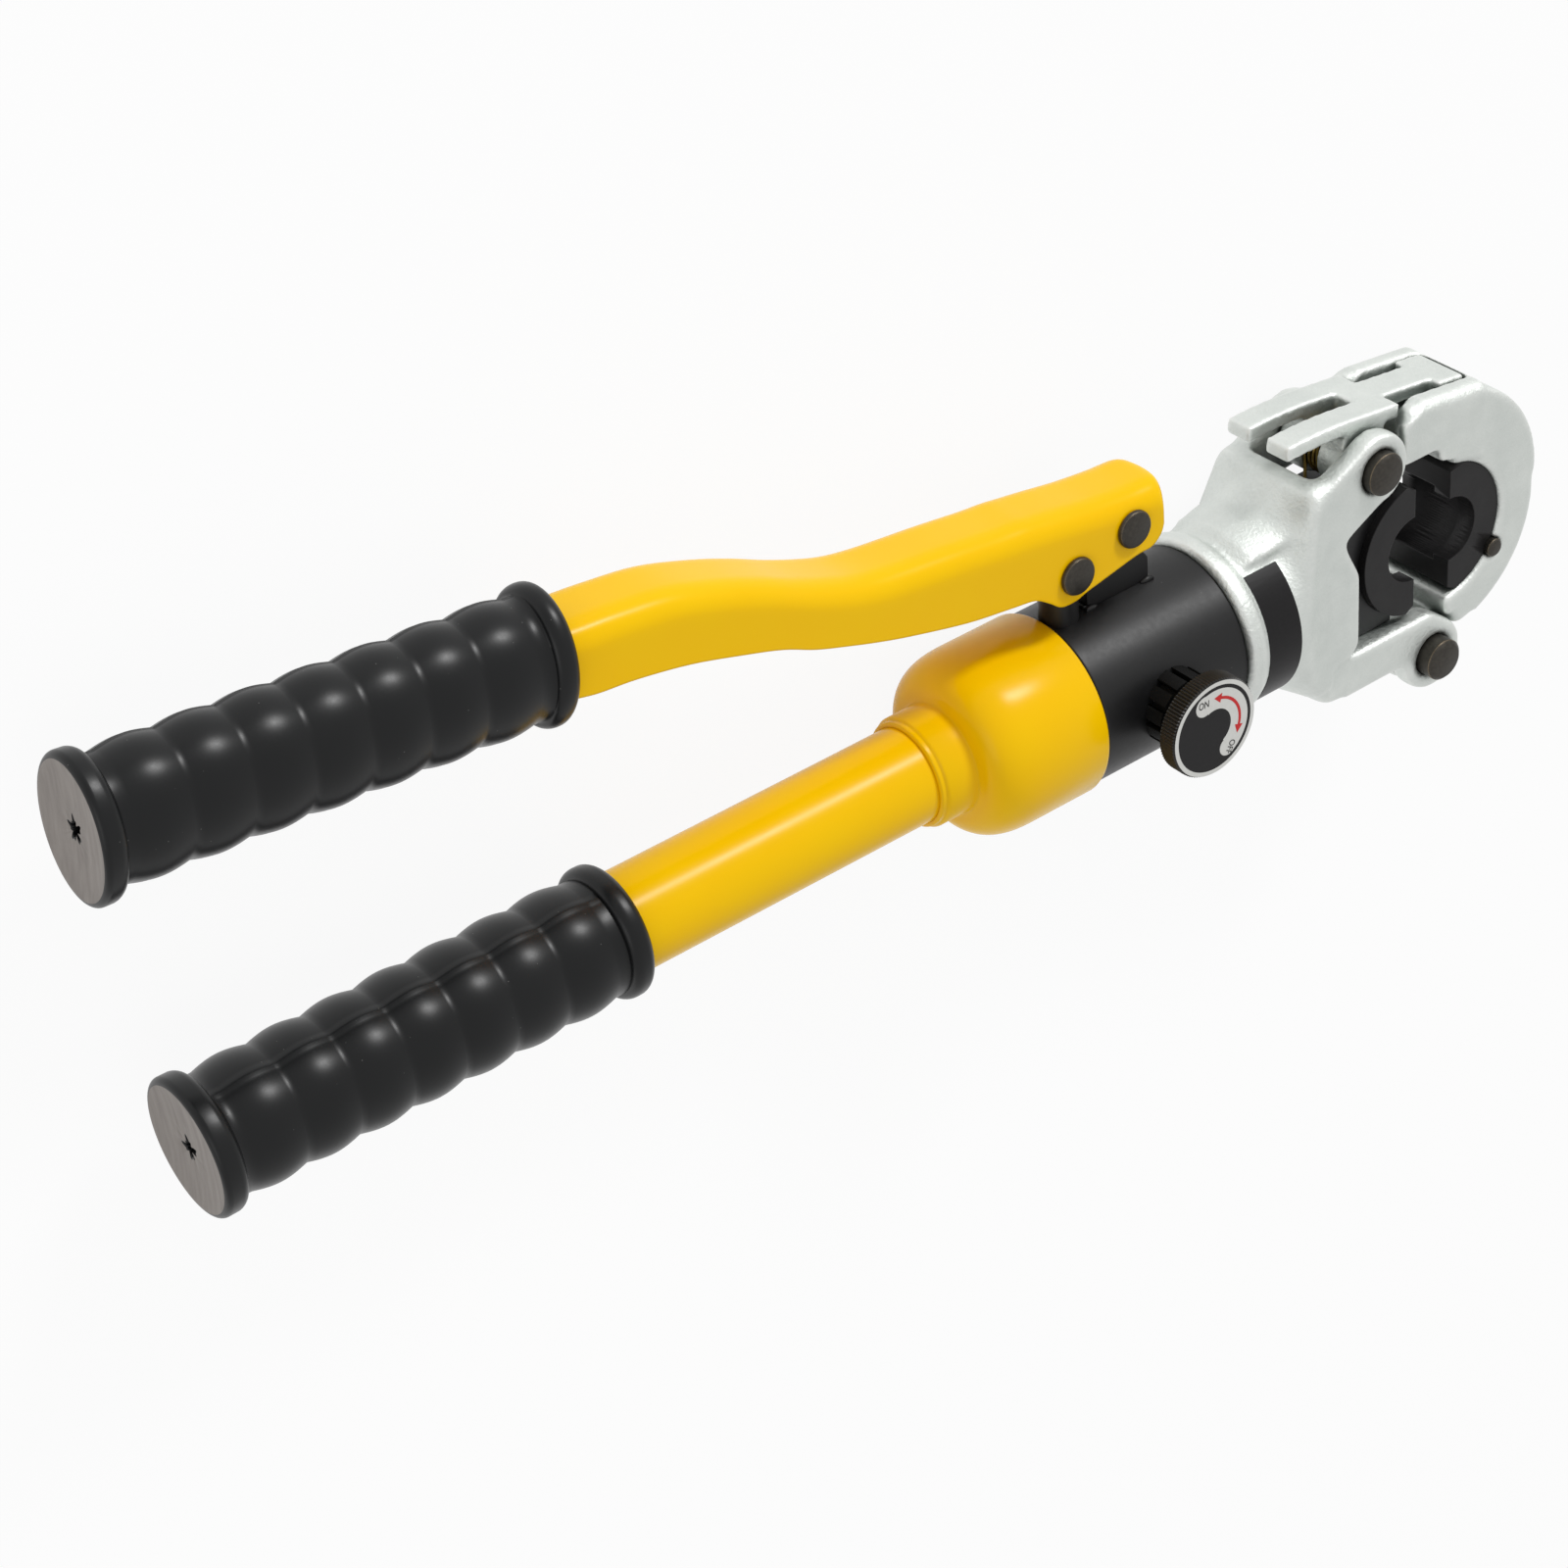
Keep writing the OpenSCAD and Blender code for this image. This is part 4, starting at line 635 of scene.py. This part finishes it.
drum_blank = linked("drum_blank", meshed("drum_blank", spun(drum, 128)))
seat_blank = linked("relief_seat", meshed("relief_seat", seat))
seat_cut = drum_blank.modifiers.new("relief_seat", "BOOLEAN")
seat_cut.operation = "DIFFERENCE"
seat_cut.object = seat_blank
bm = made_solid(drum_blank)
bpy.data.objects.remove(seat_blank)
hand_over("black_drum", bm, [black_coat], "tool", ["cylinder_body"], 30)

# %% [markdown]
# ### Pressed lever
# The lever is one strip of sheet pressed into a channel with a rolled top. The model is made the same way: a flat
# grid is the blank, every point of it is pressed to its place on the channel, and the sheet then gets its
# thickness inwards. Bevelling the top edges of a block instead breaks at the tight curve of the nose.

# %% Lever outline
fulcrum_y, nose_x = 51.3, -107.6
# distance behind the nose, height of the top and of the lower edge over the fulcrum, in mm
lever_heights = [
    (0, 7.4, -3.2), (0.8, 8.5, -5.4), (2.4, 9.1, -7.3), (5, 9.3, -8.7), (10, 9.6, -9), (20, 10.8, -11),
    (28, 12.1, -12.6), (32, 12.8, -13.7), (37, 13.6, -13.4), (41, 14.2, -10.5), (46, 15, -7.4), (54, 15.8, -6.1),
    (69, 17.8, -3.8), (88, 20, 0.8), (99, 22, 4), (108, 25, 7), (118, 29.2, 10.6), (128, 34, 15.2), (140, 39, 19.2),
    (156, 44.2, 23.9), (172, 46.6, 27), (184, 47.8, 28.4), (193, 48.6, 30.6)]


def eased(stations, pieces):
    """Points on a smooth curve through the stations."""
    out = []
    for i in range(len(stations) - 1):
        p = [Vector(stations[min(max(i + k, 0), len(stations) - 1)]) for k in (-1, 0, 1, 2)]
        for j in range(pieces):
            t = j / pieces
            out.append(0.5 * (2 * p[1] + (p[2] - p[0]) * t + (2 * p[0] - 5 * p[1] + 4 * p[2] - p[3]) * t ** 2
                              + (3 * p[1] - p[0] - 3 * p[2] + p[3]) * t ** 3))
    return out + [Vector(stations[-1])]


lever_line = eased(lever_heights, 5)
print("lever outline:", len(lever_line), "stations")

# %% Press the blank
half_wide, sheet_t, roll_r = 12.0, 2.5, 7.0
top_share, roll_share = 0.12, 0.6
nose_swell, nose_run = 3.4, 20.0


def pressed(station, across):
    """Place on the channel, in mm: across runs from one lower edge at -1 over the top to the other at 1."""
    behind, top, low = lever_line[station]
    part = abs(across)
    if part < top_share:
        y, z = top, (half_wide - roll_r) * part / top_share
    elif part < roll_share:
        a = math.pi / 2 * (part - top_share) / (roll_share - top_share)
        y, z = top - roll_r + roll_r * math.cos(a), half_wide - roll_r + roll_r * math.sin(a)
    else:
        y, z = top - roll_r + (low - top + roll_r) * (part - roll_share) / (1 - roll_share), half_wide
    swell = nose_swell * max(0, 1 - behind / nose_run) * (1 - (z / half_wide) ** 2)
    return Vector((nose_x - behind + swell, fulcrum_y + y, math.copysign(z, across)))


bm = bmesh.new()
bmesh.ops.create_grid(bm, x_segments=len(lever_line) - 1, y_segments=50, size=1)
for v in bm.verts:
    v.co = pressed(round((v.co.x + 1) / 2 * (len(lever_line) - 1)), v.co.y) * MM
bmesh.ops.recalc_face_normals(bm, faces=bm.faces)
bmesh.ops.solidify(bm, geom=bm.faces[:], thickness=-sheet_t * MM)
bmesh.ops.recalc_face_normals(bm, faces=bm.faces)
low, high = (Vector([f(v.co[i] for v in bm.verts) for i in range(3)]) / MM for f in (min, max))
print("lever spans", [round(v, 1) for v in low], "to", [round(v, 1) for v in high])
hand_over("pressed_lever", bm, [yellow_coat], "lever", ["lever"], 40)

# %% [markdown]
# ### Rubber grips
# Both grips swell in seven rings with a rolled bead at each end. They were dipped in two-part moulds, and the
# parting line stands up as a thin ridge along the length. A spun profile gives the rings; then one row of points
# is lifted for the ridge, and the points round the trimmed hole are pushed out of true, because a knife cut it.

# %% Grip profile
ring_count, ring_high, ridge_high, ridge_half_angle = 7, 1.3, 0.32, 0.03


def grip_profile(length, bead_r, valley_r, bead_long, hole_r):
    """(along, radius) from the trimmed end's hole over its bead and the rings to the other bead, and closed inside."""
    points = [(3.6, 0), (3.6, hole_r), (1.4, hole_r), (1.1, hole_r + 0.5), (0.9, bead_r * 0.45),
              (0.4, bead_r - 4.2), (0.05, bead_r - 2.6)]
    for k in range(13):
        a = math.radians(90 * k / 12)
        points.append((1.8 - 1.8 * math.cos(a), bead_r - 1.9 + 1.9 * math.sin(a)))
    for k in range(1, 8):
        a = math.radians(90 * k / 7)
        points.append((bead_long - 3 + 3 * math.sin(a), bead_r - 2.3 + 2.3 * math.cos(a)))
    rings_start, rings_long = bead_long + 3.0, length - 2 * bead_long - 6.0
    points.append((bead_long + 0.6, valley_r))
    for k in range(ring_count * 14 + 1):
        s = k / (ring_count * 14)
        points.append((rings_start + rings_long * s, valley_r + ring_high * abs(math.sin(math.pi * ring_count * s))))
    points.append((length - bead_long - 0.6, valley_r))
    for k in range(8):
        a = math.radians(90 * k / 7)
        points.append((length - bead_long + 3 - 3 * math.cos(a), bead_r - 2.8 + 2.3 * math.sin(a)))
    for k in range(1, 10):
        a = math.radians(90 * k / 9)
        points.append((length - 3 + 3 * math.sin(a), bead_r - 3.5 + 3 * math.cos(a)))
    return points + [(length, tube_r - 1), (length - 1, 0)]


def dress_grip(bm, length, bead_r, bead_long, ridge_angles, hole_r, teeth, ragged):
    """Lift the parting ridge, fray the hole, and mark the trimmed face as cut rubber."""
    for v in bm.verts:
        along, r = v.co.x / MM, math.hypot(v.co.y, v.co.z) / MM
        a = math.atan2(v.co.z, v.co.y)
        if bead_long + 0.4 < along < length - bead_long - 0.4:
            for ridge in ridge_angles:
                off = abs((a - math.radians(ridge) + math.pi) % math.tau - math.pi)
                if off < ridge_half_angle:
                    v.co.yz *= 1 + ridge_high / r
        if abs(r - hole_r) < 0.6 and along < 3.7:
            v.co.yz *= 1 + ragged * math.cos(teeth * a + 0.6) + 0.6 * ragged * math.cos((2 * teeth + 1) * a + 2)
    for f in bm.faces:
        middle = f.calc_center_median()
        if middle.x < 1.2 * MM and math.hypot(middle.y, middle.z) < (bead_r - 1.7) * MM:
            f.material_index = 1


# %% Fixed grip on the tube
grip_end_x, grip_long = -415.3, 128.0
bead_r, bead_long, hole_r = 19.0, 7.0, 2.2
bm = spun(grip_profile(grip_long, bead_r, 16.2, bead_long, hole_r), 120)
dress_grip(bm, grip_long, bead_r, bead_long, (16.5, -163.5), hole_r, teeth=4, ragged=0.34)
bmesh.ops.translate(bm, verts=bm.verts, vec=(grip_end_x * MM, 0, 0))
hand_over("tube_grip", bm, [grip_rubber, cut_rubber], "tool", ["fixed_grip"], 50)

# %% [markdown]
# The lever's grip is an oval sleeve: the same profile, spun and then pressed thinner across the lever.

# %% Oval grip on the lever
lever_grip_start, lever_grip_long, slope = Vector((-296.8, 88.9, 0)) * MM, 129.0, math.radians(5)
bead_r, bead_long, hole_r, thin_r = 19.5, 6.4, 2.4, 16.5
bm = spun(grip_profile(lever_grip_long, bead_r, 16.3, bead_long, hole_r), 120)
dress_grip(bm, lever_grip_long, bead_r, bead_long, (-18, 162), hole_r, teeth=5, ragged=0.3)
bmesh.ops.scale(bm, verts=bm.verts, vec=(1, 1, thin_r / bead_r))
far_end = lever_grip_start + Vector((-math.cos(slope), math.sin(slope), 0)) * lever_grip_long * MM
bmesh.ops.transform(bm, verts=bm.verts, matrix=Matrix.Translation(far_end) @ Matrix.Rotation(-slope, 4, "Z"))
hand_over("lever_sleeve", bm, [grip_rubber, cut_rubber], "lever", ["lever_grip"], 50)

# %% [markdown]
# ### Release knob
# The knob's edge has straight knurling. A circle whose points step in and out gives the teeth in one go; drawing
# it up in three steps, each with its own width, makes the flare, the edge and the chamfer under the printed disc.

# %% Knurled knob
knob_x, knob_r, waist_r, knob_top, knob_thick, teeth, tooth_deep = -117.2, 15.0, 12.8, 41.0, 7.0, 96, 0.5
bm = bmesh.new()
bmesh.ops.create_circle(bm, cap_ends=True, radius=waist_r * MM, segments=2 * teeth)
face = bm.faces[:][0]


def lift_face(bm, face, up_mm, scale):
    """Extrude a face upwards, with its new outline scaled about the middle; only the first face stays, as a floor."""
    is_floor = len(bm.faces) == 1
    moved = bmesh.ops.extrude_face_region(bm, geom=[face])["geom"]
    top = [g for g in moved if isinstance(g, bmesh.types.BMFace)][0]
    if face.is_valid and not is_floor:
        bmesh.ops.delete(bm, geom=[face], context="FACES_ONLY")
    bmesh.ops.translate(bm, verts=top.verts[:], vec=(0, 0, up_mm * MM))
    bmesh.ops.scale(bm, verts=top.verts[:], vec=(scale, scale, 1))
    return top


face = lift_face(bm, face, 1.6, knob_r / waist_r)
for i, v in enumerate(sorted(face.verts, key=lambda v: math.atan2(v.co.y, v.co.x))):
    if i % 2:
        v.co.xy *= 1 - tooth_deep / knob_r
face = lift_face(bm, face, 4.9, 1.0)
lift_face(bm, face, 0.5, 0.97)
bmesh.ops.translate(bm, verts=bm.verts, vec=(knob_x * MM, 0, (knob_top - knob_thick) * MM))
bmesh.ops.recalc_face_normals(bm, faces=bm.faces)
hand_over("knurled_knob", bm, [knob_plastic], "knob", ["release_knob"], 25)

# %% [markdown]
# The printed disc carries a white ring, a white crescent between the two marks and a red arrow. Each colour is a
# thin flat piece on the disc, because a print is exactly that; the words ON and OFF become flat meshes.

# %% Printed disc
# heights in mm that keep the thin prints apart
ends_at, white_at, arrow_at, words_at = 41.22, 41.23, 41.26, 41.28
disc_r, disc_thick = 14.5, 0.2


def flat(name, bm, height_mm, made):
    """A flat print at a height over the knob's middle."""
    bmesh.ops.remove_doubles(bm, verts=bm.verts, dist=0.001 * MM)
    bmesh.ops.translate(bm, verts=bm.verts, vec=(knob_x * MM, 0, height_mm * MM))
    for f in bm.faces:
        f.normal_update()
        if f.normal.z < 0:
            f.normal_flip()
    hand_over(name, bm, [made], "knob", (), 30)


def arc_band(bm, r_in, r_out, start, end, steps):
    """A flat band between two radii, swept from one angle to another, in degrees."""
    a = math.radians(start)
    ends = [bm.verts.new((r * MM * math.cos(a), r * MM * math.sin(a), 0)) for r in (r_in, r_out)]
    line = bm.edges.new(ends)
    bmesh.ops.spin(bm, geom=ends + [line], cent=(0, 0, 0), axis=(0, 0, 1), angle=math.radians(end - start),
                   steps=steps)


def dot(bm, r, angle, size):
    """A flat round end for a band."""
    a = math.radians(angle)
    bmesh.ops.create_circle(bm, cap_ends=True, radius=size * MM, segments=40,
                            matrix=Matrix.Translation((r * MM * math.cos(a), r * MM * math.sin(a), 0)))


bm = bmesh.new()
bmesh.ops.create_circle(bm, cap_ends=True, radius=disc_r * MM, segments=128)
top = bmesh.ops.extrude_face_region(bm, geom=bm.faces[:])["geom"]
bmesh.ops.translate(bm, verts=[g for g in top if isinstance(g, bmesh.types.BMVert)], vec=(0, 0, disc_thick * MM))
bmesh.ops.translate(bm, verts=bm.verts, vec=(knob_x * MM, 0, knob_top * MM))
bmesh.ops.recalc_face_normals(bm, faces=bm.faces)
hand_over("knob_disc", bm, [films["black_printed_film"]], "knob", ["knob_label"], 30)

bm = bmesh.new()
arc_band(bm, 13.2, disc_r, 0, 360, 128)
arc_band(bm, 5.9, 12.1, 113, -60, 72)
flat("knob_print_white", bm, white_at, films["white_printed_film"])
bm = bmesh.new()
dot(bm, 9.3, 112, 3.15)
dot(bm, 9.25, -59.5, 2.95)
flat("knob_print_ends", bm, ends_at, films["white_printed_film"])

# %% Red arrow and words
bm = bmesh.new()
arc_band(bm, 8.75, 9.65, 74, -17, 40)
for angle, way in ((74, 1), (-17, -1)):
    a = math.radians(angle)
    out = Vector((math.cos(a), math.sin(a), 0))
    ahead = Vector((-math.sin(a), math.cos(a), 0)) * way
    bm.faces.new([bm.verts.new(p * MM) for p in (out * 7.7, out * 10.7, out * 9.3 + ahead * 2.7)])
flat("knob_print_arrow", bm, arrow_at, films["red_printed_film"])

for word, centre, turned_by in (("ON", (-3.75, 9.12), -4), ("OFF", (5.6, -8.6), -119)):
    letters = bpy.data.curves.new("letters_" + word, "FONT")
    letters.body = word
    letters.size = 3.1 * MM
    letters.align_x = "CENTER"
    letters.align_y = "CENTER"
    letters.offset = 0.02 * MM
    bm = made_solid(linked("letters_" + word, letters))
    bmesh.ops.transform(bm, verts=bm.verts, matrix=Matrix.Translation((centre[0] * MM, centre[1] * MM, 0))
                        @ Matrix.Rotation(math.radians(turned_by), 4, "Z") @ Matrix.Diagonal((0.78, 1, 1, 1)))
    flat("knob_print_" + word.lower(), bm, words_at, films["grey_printed_film"])

# %% [markdown]
# ### Springs and seals
# Wire springs are a circle spun along a screw line: the spin moves on by a little at each step. The latch's
# torsion spring also has two straight legs, so it is a curve with a round section made into a mesh.

# %% Wound springs


def along(axis_index):
    """The unit vector of an axis, one square to it, and the turn that lays a flat circle across a winding."""
    axis = Vector([float(i == axis_index) for i in range(3)])
    out = axis.orthogonal().normalized()
    return axis, out, Matrix((out, axis, out.cross(axis))).transposed().to_4x4()


def wound(centre, axis_index, coil_r, length, turns, wire_r):
    """A helix of round wire from a centre along an axis, in mm."""
    axis, out, across = along(axis_index)
    steps = int(turns * 40)
    start = Vector(centre) * MM + out * coil_r * MM
    bm = bmesh.new()
    bmesh.ops.create_circle(bm, cap_ends=True, radius=wire_r * MM, segments=12,
                            matrix=Matrix.Translation(start) @ across)
    bmesh.ops.spin(bm, geom=bm.faces[:], cent=Vector(centre) * MM, axis=axis, dvec=axis * length * MM / steps,
                   angle=math.tau * turns, steps=steps)
    bmesh.ops.recalc_face_normals(bm, faces=bm.faces)
    return bm


boxes = {n: [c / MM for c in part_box(n)] for n in ("return_spring", "jaw_button_spring", "relief_spring")}
for n, (low, high) in boxes.items():
    print(n, [round(v, 2) for v in low], [round(v, 2) for v in high])


def fitted_spring(node, axis_index, wire_r, turns, body):
    """A wound spring that fills the box of its CAD node."""
    low, high = boxes[node]
    middle = (low + high) / 2
    sides = [i for i in range(3) if i != axis_index]
    coil_r = max(high[i] - low[i] for i in sides) / 2 - wire_r
    middle[axis_index] = low[axis_index] + wire_r
    bm = wound(middle, axis_index, coil_r, high[axis_index] - low[axis_index] - 2 * wire_r, turns, wire_r)
    return hand_over(node + "_wound", bm, [bright_steel], body, [node], 60)


return_coil = fitted_spring("return_spring", 0, 1.3, 7, "tool")
button_coil = fitted_spring("jaw_button_spring", 2, 0.35, 2.5, "jaw")
fitted_spring("relief_spring", 1, 0.4, 2.5, "tool")

# %% Two springs get meshes of their own
low, high = boxes["return_spring"]
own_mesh(return_coil)
low, high = boxes["jaw_button_spring"]
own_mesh(button_coil)

# %% Latch spring


def bent_wire(name, places_mm, wire_r, widths=None):
    """A bmesh of round wire through these places, with its own width at each where widths are given."""
    curve = bpy.data.curves.new(name, "CURVE")
    curve.dimensions = "3D"
    curve.bevel_depth = wire_r * MM
    curve.bevel_resolution = 3
    curve.use_fill_caps = True
    line = curve.splines.new("POLY")
    line.points.add(len(places_mm) - 1)
    for point, place, width in zip(line.points, places_mm, widths or [1] * len(places_mm)):
        point.co = (*(c * MM for c in place), 1)
        point.radius = width
    return made_solid(linked(name, curve))


pin_x, pin_y, coil_r, curls, pitch = -33.6, 36.0, 7.6, 3, 1.6
route = [(pin_x - coil_r, pin_y - 10, -curls / 2 * pitch)]
for i in range(curls * 24 + 1):
    a = math.radians(180 - 15 * i)
    route.append((pin_x + coil_r * math.cos(a), pin_y + coil_r * math.sin(a), (i / 24 - curls / 2) * pitch))
route.append((pin_x - coil_r + 0.6, pin_y + 12, curls / 2 * pitch))
bm = bent_wire("latch_wire", route, 0.5)
hand_over("latch_torsion_spring", bm, [spring_wire], "tool", ["latch_spring"], 60)

# %% [markdown]
# Seals are rings of soft rubber in their grooves, and the oil bladder is a dipped rubber bag. Nothing shows them,
# but a soft part has its own round form here too.

# %% Seals and bladder


def ring_seal(name, node, axis_index, body):
    """A round-section ring that fills the box of its CAD node."""
    low, high = (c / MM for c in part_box(node))
    middle = (low + high) / 2
    cord_r = (high[axis_index] - low[axis_index]) / 2
    sides = [i for i in range(3) if i != axis_index]
    ring_r = (high[sides[0]] - low[sides[0]]) / 2 - cord_r
    axis, out, across = along(axis_index)
    bm = bmesh.new()
    bmesh.ops.create_circle(bm, radius=cord_r * MM, segments=12,
                            matrix=Matrix.Translation((middle + out * ring_r) * MM) @ across)
    bmesh.ops.spin(bm, geom=bm.verts[:] + bm.edges[:], cent=middle * MM, axis=axis, angle=math.tau, steps=48,
                   use_merge=True)
    bmesh.ops.remove_doubles(bm, verts=bm.verts, dist=0.002 * MM)
    bmesh.ops.recalc_face_normals(bm, faces=bm.faces)
    hand_over(name, bm, [nitrile], body, [node], 60)


ring_seal("ram_ring", "ram_seal", 0, "ram")
ring_seal("cover_ring", "cover_seal", 0, "tool")
ring_seal("plunger_ring", "plunger_seal", 1, "tool")
ring_seal("spindle_ring", "spindle_seal", 2, "knob")
low, high = (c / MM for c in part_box("oil_bladder"))
bag_r = (high.z - low.z) / 2
bag = [(high.x, bag_r - 1.5), (high.x, bag_r), (high.x - 6, bag_r), (high.x - 9, bag_r - 0.7), (high.x - 12, bag_r)]
for k in range(1, 13):
    a = math.radians(90 * k / 12)
    bag.append((low.x + bag_r * (1 - math.sin(a)), bag_r * math.cos(a)))
bag += [(low.x + 3, 0), (low.x + 4, bag_r - 4), (low.x + 12, bag_r - 1.5)]
hand_over("dipped_bladder", spun(bag, 48, True), [nitrile], "tool", ["oil_bladder"], 50)

# %% [markdown]
# ### Welds under the bracket
# The bracket is a thick plate, welded to the cylinder at both ends of its foot. A bead is a row of small overlapping
# puddles: a bent wire whose width ripples, thickest where the welder stopped.

# %% Weld beads
foot_z, proud = 3.2, 0.1
for bead_name, foot_x, way in (("front_weld", -106.0, 1), ("back_weld", -128.0, -1)):
    route = [(foot_x - way * 3, foot_z), (foot_x - way * 1.6, foot_z)]
    route += [(foot_x + way * 0.3, foot_z - 2 * foot_z * k / 10) for k in range(11)]
    route += [(foot_x - way * 1.6, -foot_z), (foot_x - way * 3, -foot_z)]
    places = [(x, math.sqrt(drum_r ** 2 - z ** 2) + proud, z) for x, z in route]
    widths = [0.8 + 0.25 * (k % 2) for k in range(len(route))]
    widths[0] = widths[-1] = 0.4
    widths[2] = 1.5
    bm = bent_wire(bead_name, places, 0.9, widths)
    hand_over(bead_name, bm, [black_coat], "tool", (), 60)
